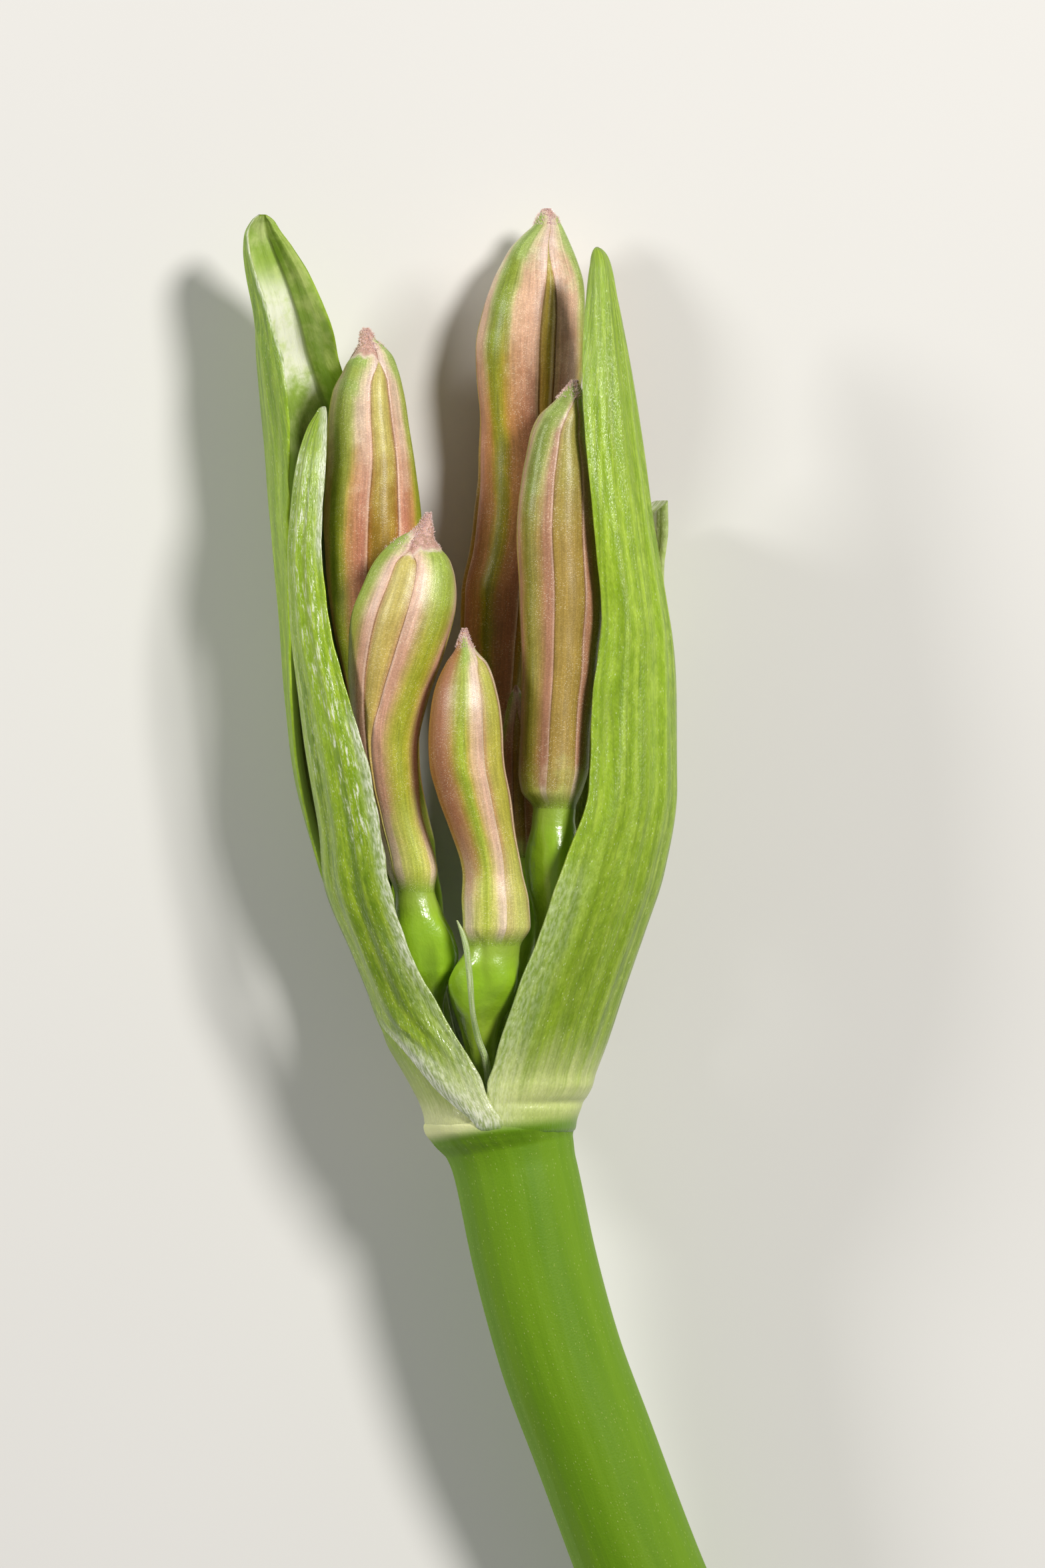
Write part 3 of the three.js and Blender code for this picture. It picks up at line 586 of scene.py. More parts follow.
# %% Stations of the buds
BUDS = {
    "back_left": dict(
        neck=13, strip_top=36.1, strip_taper=1.4, tepal_ends=[37, 36.9, 36.15], swell=[9, 12],
        turn=[[13, 0, 40], [20, 5, 40], [26, 12, 40], [29, 17, 40.5], [32, 24, 42], [36, 21, 44]],
        stations=[[0.3, -1.2, 0.55, -1.15], [4, -2.6, 0.55, -1.6], [7.5, -3.35, 0.6, -2],
            [9, -3.65, 0.95, -2.15], [10.7, -3.95, 1.15, -2.3], [12.2, -4.05, 1.05, -2.4],
            [13, -4.05, 0.95, -2.5], [14.5, -4.6, 1.2, -2.65], [17, -5.18, 1.37, -2.8],
            [20, -5.5, 1.68, -2.95], [24, -5.9, 2.15, -2.9], [28, -6.08, 2.33, -2.88],
            [31, -6.2, 2.09, -2.82], [33.5, -6.32, 1.83, -2.8], [34.5, -6.3, 1.65, -2.8],
            [35.5, -6.17, 1.3, -2.8], [36.2, -6.12, 0.98, -2.8], [36.7, -6.17, 0.58, -2.8],
            [37, -6.32, 0.38, -2.8], [37.3, -6.34, 0.29, -2.8], [37.47, -6.35, 0.1, -2.8]],
    ),
    "back_tall": dict(
        neck=17, strip_top=41.8, strip_taper=4.6, tepal_ends=[42.75, 42.8, 42.95], swell=[13.5, 16],
        turn=[[17, 45, 48], [28, 40, 48], [31, 32, 49], [34, 22, 50], [38.5, 21, 50], [41.2, 15, 50],
            [43, 17, 50]],
        stations=[[0.3, 0.2, 0.55, -1.6], [5, 0.05, 0.55, -2], [9, 0, 0.6, -2.4], [12, -0.1, 0.7, -2.7],
            [13.5, -0.15, 1.1, -2.95], [15, -0.2, 1.25, -3.1], [16.3, -0.25, 1.05, -3.2],
            [17, -0.25, 0.95, -3.25], [18.5, -0.3, 1.25, -3.35], [21, -0.25, 1.55, -3.5],
            [25, -0.05, 1.9, -3.7], [27, 0.45, 2, -3.75], [29, 0.8, 2.1, -3.75], [31, 1.05, 2.15, -3.75],
            [33.5, 1.25, 2.3, -3.75], [36.5, 1.3, 2.55, -3.75], [38.5, 1.48, 2.38, -3.75],
            [39.7, 1.68, 2.12, -3.75], [40.5, 1.78, 1.82, -3.75], [41.3, 1.86, 1.44, -3.7],
            [41.9, 2.02, 1.02, -3.7], [42.4, 2.16, 0.64, -3.7], [42.8, 2.15, 0.45, -3.7],
            [43.15, 2.15, 0.12, -3.7]],
    ),
    "front_left": dict(
        neck=11, strip_top=27.15, strip_taper=1, tepal_ends=[26.95, 27.5, 27.75], swell=[7, 10],
        turn=[[11, -48, 57], [12.4, -46, 57], [15.5, -38, 57], [17.8, -35, 55], [18.9, -34, 50],
            [20, -30, 44], [22.3, -21, 41], [24.5, -14, 41.5], [26.9, -10, 43]],
        stations=[[0.3, -1.55, 0.55, 0.3], [3, -2.4, 0.55, 0.6], [5.5, -3.3, 0.6, 0.85],
            [6.4, -3.4, 0.85, 0.95], [7.4, -3.5, 1.35, 1], [8, -3.5, 1.42, 1.1], [9, -3.65, 1.35, 1.35],
            [10.2, -3.9, 1.1, 1.5], [11, -4.05, 0.95, 1.6], [12.2, -4.2, 1.22, 1.7],
            [14.5, -4.85, 1.2, 1.85], [16, -5.15, 1.35, 1.95], [18, -5.35, 1.5, 2.05], [20, -5.2, 1.8, 2.1],
            [22, -4.9, 2.2, 2.1], [24, -4.53, 2.43, 2.1], [25.7, -4.2, 2.1, 2.1], [26.4, -4.12, 1.83, 2.1],
            [27, -4.05, 1.45, 2.1], [27.5, -3.97, 0.98, 2.1], [27.9, -3.68, 0.6, 2.1],
            [28.2, -3.55, 0.38, 2.1], [28.75, -3.4, 0.1, 2.1]],
    ),
    "front_small": dict(
        neck=8.5, strip_top=22.3, strip_taper=1.2, tepal_ends=[22.45, 22.5, 22.95], swell=[6, 7.8],
        wider=[-9, 0, 21],
        turn=[[8.5, 42, 33], [11, 47, 35], [14, 53, 36], [20, 53, 37], [22, 48, 39]],
        stations=[[0.3, -0.4, 0.5, 1.1], [3.3, -0.91, 0.7, 1.5], [4.1, -0.98, 0.82, 1.75],
            [4.9, -1, 1.02, 1.95], [5.8, -0.88, 1.42, 2.2], [6.7, -0.76, 1.63, 2.45],
            [7.5, -0.63, 1.53, 2.65], [8.1, -0.45, 1.32, 2.8], [8.5, -0.33, 1.24, 2.9], [9.4, -0.2, 1.58, 3],
            [10.5, -0.27, 1.58, 3.1], [12, -0.42, 1.42, 3.2], [14.1, -0.93, 1.57, 3.35],
            [15.5, -1.28, 1.72, 3.45], [17, -1.6, 1.8, 3.55], [18, -1.66, 1.79, 3.6],
            [19.5, -1.67, 1.67, 3.65], [20.3, -1.67, 1.52, 3.65], [21.7, -1.62, 0.98, 3.65],
            [22.3, -1.67, 0.52, 3.65], [22.8, -1.72, 0.3, 3.65], [23.3, -1.7, 0.08, 3.65]],
    ),
    "right": dict(
        neck=14.9, strip_top=34.6, strip_taper=2, tepal_ends=[34.65, 34.75, 34.75], swell=[11, 14],
        turn=[[14.9, 14, 36], [24, 16, 36], [30, 17, 36], [32.3, 27, 37], [33.3, 32, 40]],
        stations=[[0.3, 1.5, 0.5, 0.5], [4, 1.7, 0.5, 0.65], [7, 2, 0.55, 0.9], [9.3, 2.3, 0.7, 1.1],
            [10.4, 2.5, 1.05, 1.25], [11.5, 2.5, 1.25, 1.35], [12.5, 2.45, 1.25, 1.4],
            [13.5, 2.45, 1.15, 1.45], [14.3, 2.45, 1.02, 1.5], [14.9, 2.5, 1, 1.5], [15.7, 2.37, 1.43, 1.5],
            [16.8, 2.45, 1.65, 1.5], [18.3, 2.5, 1.65, 1.5], [22, 2.7, 1.8, 1.45], [25, 2.75, 1.95, 1.4],
            [28, 2.62, 1.94, 1.4], [30.5, 2.68, 1.73, 1.4], [32.2, 2.65, 1.35, 1.4], [33.3, 2.83, 1.08, 1.4],
            [34, 3.15, 0.68, 1.4], [34.5, 3.35, 0.43, 1.4], [34.95, 3.45, 0.12, 1.4]],
    ),
    "hidden_small": dict(
        neck=12.6, strip_top=19.8, strip_taper=1.5, tepal_ends=[20.4, 20.4, 20.4], swell=[9.5, 12],
        turn=[[12.6, 0, 44], [20.7, 0, 44]],
        stations=[[0.3, 0.05, 0.45, -0.3], [3, 0.3, 0.45, -0.4], [7, 0.8, 0.45, -0.7],
            [8.5, 0.92, 0.75, -0.8], [10.2, 1, 0.95, -0.8], [11.6, 0.98, 0.85, -0.8],
            [12.6, 0.95, 0.7, -0.8], [13.4, 0.9, 0.95, -0.8], [15.5, 0.82, 1, -0.8],
            [17.5, 0.78, 0.95, -0.8], [19, 0.75, 0.62, -0.8], [20, 0.73, 0.4, -0.8],
            [20.7, 0.7, 0.08, -0.8]],
    ),
}

# %% [markdown]
# The buds share one set of tones, and each changes some of them. Its midrib, neck_rise, painted shade over
# the whole bud and painted shade on its left flank follow. The hidden bud is hardly seen, so its grid is
# coarser.

# %% Make the buds
TONES = dict(
    rib="8e9c22", rib_light="a8ae30", gold="c8b448", amber="d29a5a", pink="d08a6e", hem="e4b698",
    strip_side="b07232", strip="b29030", rib_high="acba50", fair="eaceb4", strip_high="beae52",
    beak="a8806e",
)
BUD_TONES = {
    "back_left": (dict(strip_high="d4c870"), [0.36, 0.12]),
    "back_tall": (dict(
        rib="888c10", rib_light="b0a41c", gold="be9634", rib_high="8a9e1e", amber="c68c4e", pink="be7e5e",
        fair="deb496", strip="b48e2c", strip_high="b29c30",
    ), [0.28, 0.12]),
    "front_left": (dict(
        rib="acb62e", rib_light="bcbc3c", rib_high="acc254", gold="c6b656", amber="d2ac78", pink="deaa8e",
        hem="eac4ac", fair="ecccb4", strip="ceb660", strip_side="d6a476", strip_high="d6c874",
    ), [0.5, 0.3]),
    "front_small": (dict(
        rib="a0b830", rib_light="b6c042", amber="daba7e", pink="e8bea2", fair="eaceb8", hem="e6ceac",
        strip="c6be4c", strip_side="d09c6c", strip_high="c4c458",
    ), [0.34, 0.42, 0.0, 0.85]),
    "right": (dict(
        rib="929026", rib_light="a69a38", gold="b89e4e", amber="ba8c5a", pink="c08a6c", hem="d8ac90",
        rib_high="869c36", fair="c0967a", strip="bea04e", strip_side="ac903c", strip_high="b0a850",
    ), [0.5, 0.14, 0.18]),
    "hidden_small": (dict(), [0.34, 0.12, 0.3]),
}
BUD_GRID = (210, 43, 13)
OVARY_GRID = (96, 80)
HIDDEN_BUD_GRID = (90, 21, 7)
HIDDEN_OVARY_GRID = (60, 48)

ovary_finish = ovary_skin()
bud_rings = {}
for seed, (place, bud) in enumerate(BUDS.items()):
    hidden = place == "hidden_small"
    own_tones, shares = BUD_TONES[place]
    finish = tepal_skin(f"tepals_{place}", TONES | own_tones, *shares)
    surface = perianth_rings(bud, *(HIDDEN_BUD_GRID if hidden else BUD_GRID), seed)
    bud_rings[place] = surface[0]
    piece_from_rings(f"tepals_{place}", *surface, finish, "tepal_pink", [f"bud_{place}"])
    surface = ovary_rings(bud, *(HIDDEN_OVARY_GRID if hidden else OVARY_GRID), seed + 10)
    piece_from_rings(f"pedicel_{place}", *surface, ovary_finish, "ovary_green", [f"ovary_{place}"])

# %% [markdown]
# ## Valves and bracts
# The two spathe valves and the smaller bracts are leaves that grew curled round the buds. At every height
# such a leaf is an arc of an ellipse, and its section is a thin lens. Ribs and finer veins run its whole
# length. It could be a plane with Solidify, but as a ring it can thin towards its margins, where the real
# one is papery.

# %% Leaf surface
RIB_HEIGHT = 0.05
TIP_HOLLOW = 0.12
LEAF_GRAIN_RADIUS = 4
NO_FOLD = [[-1, 200, 0, 10], [50, 200, 0, 10]]
NO_ROLL = [[-1, 0, 0.1], [50, 0, 0.1]]
NO_WAIST = [1, 0, 1, 0, 1]


def rooted(x, y):
    """1 in the stem's green and 0 above it, along a line that climbs from left to right round the collar."""
    return smooth(0.12 + 0.15 * x - 0.05 * np.abs(x) - y, -0.3, 0.35)


def to_the_left(x):
    """1 on the collar's left side and 0 on its right."""
    return smooth(-x, -1.5, 1.5)


def leaf_rings(leaf, seed):
    """At height y the back of the leaf is (x + a cos p, z + b sin p), with p running from one margin angle to
    the other, and a and b the half-width and half-depth plus ribs, veins, folds and rolls. The face lies one
    thickness further in. Across, s goes from -1 to 1, and both sides meet at the margins by the root of
    1 - s^8. A fold is a bell of some degrees round its angle, and a roll sinks the first margin."""
    base = leaf["rows"][0][0]
    tip = leaf["rows"][-1][0]
    columns = leaf["columns"]
    y = levels(base, tip, leaf["levels"], 0.5)[:, None]
    s = np.sin(np.linspace(-np.pi / 2, np.pi / 2, columns)) * 0.55 + np.linspace(-1, 1, columns) * 0.45
    s = np.concatenate([s, s[-2:0:-1]])[None, :]
    face = np.concatenate([np.zeros(columns), np.ones(columns - 2)])[None, :]
    lens = np.sqrt(1 - s**8)
    slimmer = leaf["tip_share"] + (1 - leaf["tip_share"]) * smooth(y, tip, tip - 5)
    sheet = leaf["thickness"] * (1 - leaf["thin"] * s**4) * slimmer
    inset = sheet * np.where(face > 0, 1 + lens, 1 - lens) / 2
    lowered = y - inset * smooth(y, tip - 3 * leaf["thickness"], tip)
    x, z, half_width, half_depth, start, end = through(leaf["rows"])(lowered)
    u = (s + 1) / 2
    turn = 2 * np.pi * u
    flutter = leaf["flutter"] * np.abs(s) ** 6 * unevenness(0.3 * lowered, 1.3 * lowered, seed + 50)
    degrees = start + (end - start) * u + flutter
    p = np.radians(degrees)
    fade = np.minimum(1, half_width / 1.5) * smooth(y, base + 1.7, base + 5.7)
    fine = leaf["vein_height"] * np.cos(leaf["veins"] * turn + unevenness(turn, 0.2 * y, seed))
    rise = fade * (RIB_HEIGHT * np.cos(leaf["ribs"] * turn) + fine)
    fold_angle, fold_height, fold_width = through(leaf.get("fold", NO_FOLD))(lowered)
    rise = rise + fold_height * bell(degrees, fold_angle, fold_width)
    roll_depth, roll_share = through(leaf.get("roll", NO_ROLL))(lowered)
    rise = rise - roll_depth * (1 - smooth(u, 0, roll_share)) ** 1.3
    rise = rise + 0.03 * unevenness(turn, 0.35 * y, seed + 20) * smooth(y, 0.8, 3.8)
    waist, depth, waist_height, facing, reach = leaf.get("waist", NO_WAIST)
    pinched = bell(y, waist, waist_height) - 0.8 * bell(y, waist + 0.8, 0.4)
    rise = rise - depth * pinched * bell(degrees, facing, reach)
    a = np.maximum(half_width + rise - inset, TIP_HOLLOW * half_width)
    b = np.maximum(half_depth + rise - inset, TIP_HOLLOW * half_depth)
    rings = stacked(x + a * np.cos(p), lowered, z + b * np.sin(p))
    span = np.abs(np.radians(end - start) * half_width)
    marks = {
        "height": y,
        "face": face,
        "from_fold": degrees - fold_angle,
        "root": rooted(rings[..., 0], rings[..., 1]),
        "left": to_the_left(rings[..., 0]),
        "crest": np.cos(2 * leaf["ribs"] * turn + 0.8 * unevenness(turn, 0.12 * y, seed + 30)),
        "first_margin": u * span,
        "second_margin": (1 - u) * span,
    }
    grain = p * LEAF_GRAIN_RADIUS
    return rings, marks, stacked(np.hstack([grain, grain[:, :1]]), y)


# %% [markdown]
# The stations of a leaf are [y, x, z, half-width, half-depth, first margin angle, second margin angle]. The
# angles are degrees from the right towards the viewer.

# %% Stations of the leaves
LEFT_VALVE = [
    [-0.4, -0.05, 0, 3.1, 3.08, 110, 262], [-0.12, -0.05, 0, 3.48, 3.46, 111, 262],
    [0.3, -0.05, 0, 3.56, 3.54, 112, 262], [1, -0.2, -0.1, 3.6, 3.5, 116, 262],
    [1.8, -0.5, -0.25, 3.7, 3.5, 124, 263], [2.8, -0.85, -0.42, 3.9, 3.6, 132, 265],
    [4, -1.3, -0.6, 4.1, 3.7, 144, 268], [5.5, -1.85, -0.75, 4.12, 3.9, 164, 271],
    [8, -2.7, -1, 4.2, 4.2, 180, 275], [12, -4.1, -1.4, 4.5, 4.45, 176, 282],
    [16, -5.2, -1.8, 4.45, 4.5, 168, 288], [20, -6, -2.05, 4.15, 4.46, 162, 292],
    [24, -6.6, -2.15, 3.8, 4.36, 155, 296], [28, -7.3, -2.2, 3.55, 4.22, 141, 300],
    [32, -8.1, -2.3, 3, 3.95, 129, 306], [34, -8.75, -2.4, 2.55, 3.75, 121, 316],
    [36, -9.35, -2.3, 2.15, 3.2, 116, 329], [38, -9.8, -2, 1.85, 2.4, 128, 345],
    [40, -10.45, -1.8, 1.55, 1.6, 136, 345], [41.3, -10.95, -1.6, 1.17, 1, 140, 348],
    [42.2, -11.2, -1.5, 0.74, 0.6, 144, 350], [42.6, -11.2, -1.5, 0.46, 0.36, 144, 350],
    [42.8, -11.2, -1.5, 0.16, 0.12, 144, 350],
]
RIGHT_VALVE = [
    [-0.4, 0, 0, 3.1, 3.08, 100, -34], [-0.12, 0, 0, 3.48, 3.46, 100, -34],
    [0.3, 0, 0, 3.56, 3.54, 101, -33], [2, 0.15, 0.15, 4.13, 3.55, 102, -30],
    [3, 0.39, 0.2, 4.25, 3.68, 100, -29], [4, 0.63, 0.25, 4.37, 3.8, 99.5, -29],
    [6, 1.16, 0.3, 4.49, 3.9, 97.3, -28], [7.5, 1.53, 0.35, 4.64, 3.93, 94.6, -28],
    [9, 1.9, 0.4, 4.8, 3.95, 91.6, -28], [12, 2.62, 0.5, 5.03, 3.9, 88, -26],
    [16, 3.35, 0.5, 4.9, 3.8, 80, -25], [20, 3.4, 0.5, 4.8, 3.6, 78, -25],
    [24, 3.9, 0.55, 3.95, 3.4, 76, -25], [28, 3.8, 0.65, 3.39, 3.05, 80, -25],
    [32, 3.95, 0.85, 2.65, 2.4, 90, -35], [36, 4.31, 1, 1.64, 1.6, 110, -60],
    [39, 4.52, 1.2, 0.88, 1, 135, -100], [40.3, 4.54, 1.3, 0.58, 0.7, 150, -140],
    [40.75, 4.51, 1.3, 0.45, 0.55, 155, -150], [41, 4.48, 1.3, 0.31, 0.38, 158, -156],
    [41.13, 4.46, 1.3, 0.19, 0.22, 160, -160], [41.2, 4.45, 1.3, 0.06, 0.08, 160, -160],
]
FRONT_LEFT_BRACT = [
    [-0.4, -0.1, 0, 3.12, 3.08, 84, 102], [-0.12, -0.15, 0, 3.46, 3.48, 85, 106],
    [0.3, -0.2, 0, 3.55, 3.6, 86, 110], [1, -0.45, 0, 3.68, 3.66, 89, 119],
    [1.6, -0.7, 0.05, 3.78, 3.64, 90, 126], [2.2, -0.9, 0.1, 3.88, 3.6, 89.5, 131],
    [3.1, -1.25, 0.15, 3.9, 3.58, 92, 138], [4, -1.6, 0.2, 3.9, 3.57, 95, 150],
    [5, -2, 0.25, 3.86, 3.48, 98, 172], [6, -2.4, 0.3, 3.8, 3.4, 100.6, 185],
    [8, -3.2, 0.5, 3.8, 3.3, 105, 184], [11, -4.4, 0.7, 3.85, 3.2, 101, 182],
    [14, -5.1, 0.9, 3.5, 3.1, 99, 178], [17, -5.8, 1, 3.3, 3.1, 97, 176],
    [20, -6.6, 1.1, 2.9, 2.8, 100, 176], [24, -7.55, 1.15, 2.4, 2.4, 103, 178],
    [28, -8, 1.1, 2, 2.1, 101.5, 178], [31, -8, 1.1, 1.65, 1.7, 97, 178], [32.7, -8.1, 1.1, 1, 1.1, 93, 180],
    [33.4, -8.15, 1.1, 0.52, 0.6, 90, 185], [33.66, -8.2, 1.1, 0.3, 0.34, 87, 188],
    [33.75, -8.22, 1.1, 0.12, 0.14, 85, 190],
]
BACK_RIGHT_BRACT = [
    [-0.4, 0, 0, 3.25, 3.25, 258, 330], [0.3, 0, 0, 3.5, 3.5, 260, 330], [8, 1.8, -0.9, 4.1, 4.2, 274, 325],
    [16, 2.9, -1.3, 4.6, 5, 272, 332], [22, 3.2, -1.6, 4.7, 5.2, 272, 338],
    [26, 3.4, -1.6, 4.4, 5, 285, 350], [28, 3.7, -1.9, 4.25, 4.6, 310, 352],
    [29.4, 3.8, -2, 4.1, 4.4, 324, 354],
]

# %% [markdown]
# The valves' skin is satin yellow-green with paler, broken veins. It turns pale where it meets the collar,
# and its margins are silvery. Its near-white dots and dashes are painted glints, its lower part is darkened
# as painted shade, and a thin whitish line along the left valve's rim is a painted highlight. The left valve's
# open tip shows its inside: whitish left of the crease, partly as a painted highlight, greener beyond it, with
# painted shade in the crease and deep between the buds. The marks on the points say how high, on which side of
# the sheet, how far from the fold and how near a margin a place is.

# %% Leaf skin
DARK_LINE = "546c1e"
STEM_GREEN = "648e0a"
COLLAR_CREAM = "d4d89e"
COLLAR_GREEN = "acc060"


def collar_colour():
    """Creamy on the left of the collar and greener on its right."""
    return blend(mark_of("left"), COLLAR_GREEN, COLLAR_CREAM)


def leaf_skin(name, green, light, dark, painted_glint_share, sheen, pale_to, pale, pale_margins_and_highlight, painted_glint_dashes=(),
              inside=None):
    """green, light and dark are the skin's colours, painted_glint_share how much of it is dotted with painted
    glints, sheen how wavy and wet it is, and pale its colour up to the height pale_to.
    pale_margins_and_highlight has rows of [margin, lowest, highest, width, whiteness], for silvery margins and
    for a painted highlight along a rim. painted_glint_dashes has rows of [lowest, highest, nearest, farthest,
    whiteness], for broken dashes of painted glints that far from the first margin. inside makes the colour of
    the other side."""
    start_finish(name, 0.42, 0.15, coat=sheen, coat_roughness=0.15, specular=0.35)
    height = mark_of("height")
    veins = streaky(3.4, 0.06, 4, 0.6)
    threads = streaky(13, 0.35, 2)
    dashes = streaky(9, 2.4, 2)
    blotches = streaky(2.2, 0.9, 4, 0.6)
    patchy = spread(blotches, 0.3, 0.6, 0.15, 0.5)
    crest = (veins - 0.5) * 2 + mark_of("crest")
    colour = layered(
        blend(spread(streaky(1.1, 0.06, 2), 0.35, 0.6), dark, green),
        (spread(blotches, 0.4, 0.65, 0, 0.4), light),
        (spread(crest, 0.1, 1) * patchy, light),
        (spread(crest, -0.4, -1.2, 0, 0.45), dark),
        (spread(veins, 0.5, 0.66) * patchy, light),
        (spread(threads, 0.56, 0.7) * 0.16, light),
    )
    colour = toned(colour, dashes, 0.3, 0.7, 0.92, 1.06)
    # Painted shade: the skin grows darker towards the lower part of the leaf, below 22 mm.
    colour = toned(colour, height, 6, 22, 0.78, 1)
    line = spread(abs(streaky(0.9, 0.03, 2) - 0.5), 0.035, 0) * spread(blotches, 0.3, 0.6, 0.3, 0.9)
    layers = [
        (line * 0.35, DARK_LINE),
        (spread((veins - 0.5) * 6 + height, pale_to, 0.3) * 0.9, pale),
        (spread((veins - 0.5) * 2 + height, 1.6, 0.3) * 0.8, collar_colour()),
    ]
    silver = blend(spread(dashes, 0.35, 0.65), "9eb074", "eef2de")
    for margin, lowest, highest, width, whiteness in pale_margins_and_highlight:
        near = spread((blotches - 0.5) * 0.5 + mark_of(margin), width, 0)
        layers.append((near * between(height, lowest, highest, 2) * whiteness, silver))
    # Painted glints: broken near-white dashes at these distances from the first margin.
    for lowest, highest, nearest, farthest, whiteness in painted_glint_dashes:
        dashed = spread(streaky(6.5, 1.1, 4, 0.7), 0.49, 0.64) * spread(blotches, 0.42, 0.58)
        there = between(height, lowest, highest, 3) * between(mark_of("first_margin"), nearest, farthest, 0.5)
        layers.append((dashed * there * whiteness, "fafcec"))
    long_cells = lengthwise(18, 7)
    domes = cells(1, vector=long_cells)
    chance = cells(1, "Color", long_cells)
    colour = toned(layered(colour, *layers), chance, 0, 1, 0.93, 1.05)
    # Painted glints: near-white dots on some of the long cells, more where the blotches are bright.
    painted_glints = spread(chance, 1 - painted_glint_share, 1.15 - painted_glint_share) * spread(domes, 0.5, 0.1)
    painted_glints = painted_glints * spread(blotches, 0.35, 0.65, 0.2, 1) * 0.6
    colour = layered(colour, (painted_glints, "ecf2ce"), (mark_of("root"), STEM_GREEN))
    if inside:
        colour = blend(mark_of("face"), colour, inside())
    relief = veins * 1.2 + threads * 0.2 + dashes * 0.5 - domes * 0.3 + blotches * (1.2 * sheen)
    return finished(colour, relief, 0.032)


def open_valve_inside():
    """Pale green, whitish left of the crease, partly its own tissue and partly a painted highlight that is
    brightest 36 to 38.6 mm high, with painted shade in the crease and deep down between the buds.
    """
    cloud = cloudy(0.8, 5, 0.6)
    height = mark_of("height")
    from_fold = mark_of("from_fold")
    uneven_height = (cloud - 0.5) * 3 + height
    white = blend(spread(cloud, 0.3, 0.6), "d0e096", "f8fbe8")
    painted_highlight_heights = spread(between(uneven_height, 36, 38.6, 2.2), 0, 1, 0.12, 1)
    return layered(
        blend(spread(cloud, 0.4, 0.65), "9ec042", "ccde82"),
        # Partly painted highlight: the whitish patch left of the crease, strongest 36 to 38.6 mm high.
        (spread((cloud - 0.5) * 10 + from_fold, 4, -5) * painted_highlight_heights, white),
        # Painted shade in the crease.
        (between(from_fold, -2.2, 1.6, 4) * spread(height, 42.4, 41.6) * 0.5, "546428"),
        # Painted shade deep down between the buds.
        (spread(uneven_height, 36, 31), "5c7624"),
    )


# %% [markdown]
# Besides ribs and veins, a leaf has what is its own: the left valve's keel and the front bract's fold low
# down, as [y, angle, height, width], the inward roll of the right valve's first margin, as [y, depth, share
# of the leaf], and the right valve's waist above the collar, as [y, depth, height, angle, reach].

# %% Make the valves and bracts
LEAVES = {
    "valve_left_leaf": dict(
        rows=LEFT_VALVE, thickness=0.7, levels=220, columns=60, ribs=6, veins=19, vein_height=0.01,
        thin=0.45, tip_share=0.28, flutter=0.7, node="spathe_valve_left", slot="valve_green",
        fold=[[-0.4, 280, 0, 18], [1.3, 280, 0, 18], [5.3, 280, 0.25, 18], [40, 280, 0.25, 18],
            [41.3, 280, 0.19, 18], [42.3, 280, 0.1, 18], [42.8, 280, 0.02, 18]],
        finish=leaf_skin(
            "valve_left_skin", "8cb010", "acca38", "6c9008", 0.14, 0.35, 5.5, "b2be70",
            # This row is a painted highlight: a thin whitish line along the left valve's rolled rim near its
            # tip.
            [["first_margin", 36, 42.4, 0.24, 0.8]], inside=open_valve_inside),
    ),
    "valve_right_leaf": dict(
        rows=RIGHT_VALVE, thickness=0.7, levels=220, columns=60, ribs=6, veins=21, vein_height=0.012,
        thin=0.5, tip_share=1, flutter=0.3, node="spathe_valve_right", slot="valve_green",
        roll=[[-0.4, 0, 0.1], [11, 0, 0.1], [15, 0.35, 0.13], [19, 0.6, 0.17], [24, 0.55, 0.15],
            [28, 0.2, 0.12], [31, 0, 0.1], [41.2, 0, 0.1]],
        waist=[1.15, 0.17, 0.2, 40, 38],
        finish=leaf_skin(
            "valve_right_skin", "90b21c", "b4d046", "7c9c14", 0.16, 0.35, 5.0, "dee69c",
            [["first_margin", -1, 11, 2.2, 0.28]]),
    ),
    "bract_front_leaf": dict(
        rows=FRONT_LEFT_BRACT, thickness=0.6, levels=190, columns=42, ribs=4, veins=15, vein_height=0.014,
        thin=0.6, tip_share=0.8, flutter=0.5, node="bract_front_left", slot="bract_silver",
        fold=[[-0.4, 98, 0, 6], [0.9, 108, 0.12, 9], [2.1, 119, 0.22, 11], [2.6, 124, 0.24, 11],
            [3.9, 132, 0.22, 12], [7, 142, 0.1, 14], [12, 146, 0, 16], [33.75, 146, 0, 16]],
        finish=leaf_skin(
            "bract_front_skin", "8eb00c", "b4d032", "6c8e06", 0.3, 0.8, 4.5, "d0d8a0",
            [["first_margin", 8, 18, 0.8, 0.85], ["first_margin", -1, 8, 1.6, 0.3],
             # The second_margin row is partly the front bract's own silvery base and partly a painted
             # highlight that makes it whiter.
             ["first_margin", 27.5, 34, 0.55, 0.95], ["second_margin", -1, 3.4, 2.1, 1.0]],
            # These rows are painted glints: broken near-white dashes along the front bract's lit band.
            [[25.5, 30, 0.7, 1.7, 1.0], [15, 23, 0.4, 1.5, 0.85], [18, 25, 2.6, 3.6, 0.5]]),
    ),
    "bract_back_leaf": dict(
        rows=BACK_RIGHT_BRACT, thickness=0.7, levels=130, columns=32, ribs=3, veins=11, vein_height=0.014,
        thin=0.4, tip_share=0.8, flutter=0.7, node="bract_back_right", slot="bract_silver",
        finish=leaf_skin(
            "bract_back_skin", "96b042", "ccd896", "849e34", 0.3, 0.3, 2.5, "bec88c",
            [["first_margin", 27.6, 31, 3.5, 0.7]]),
    ),
}

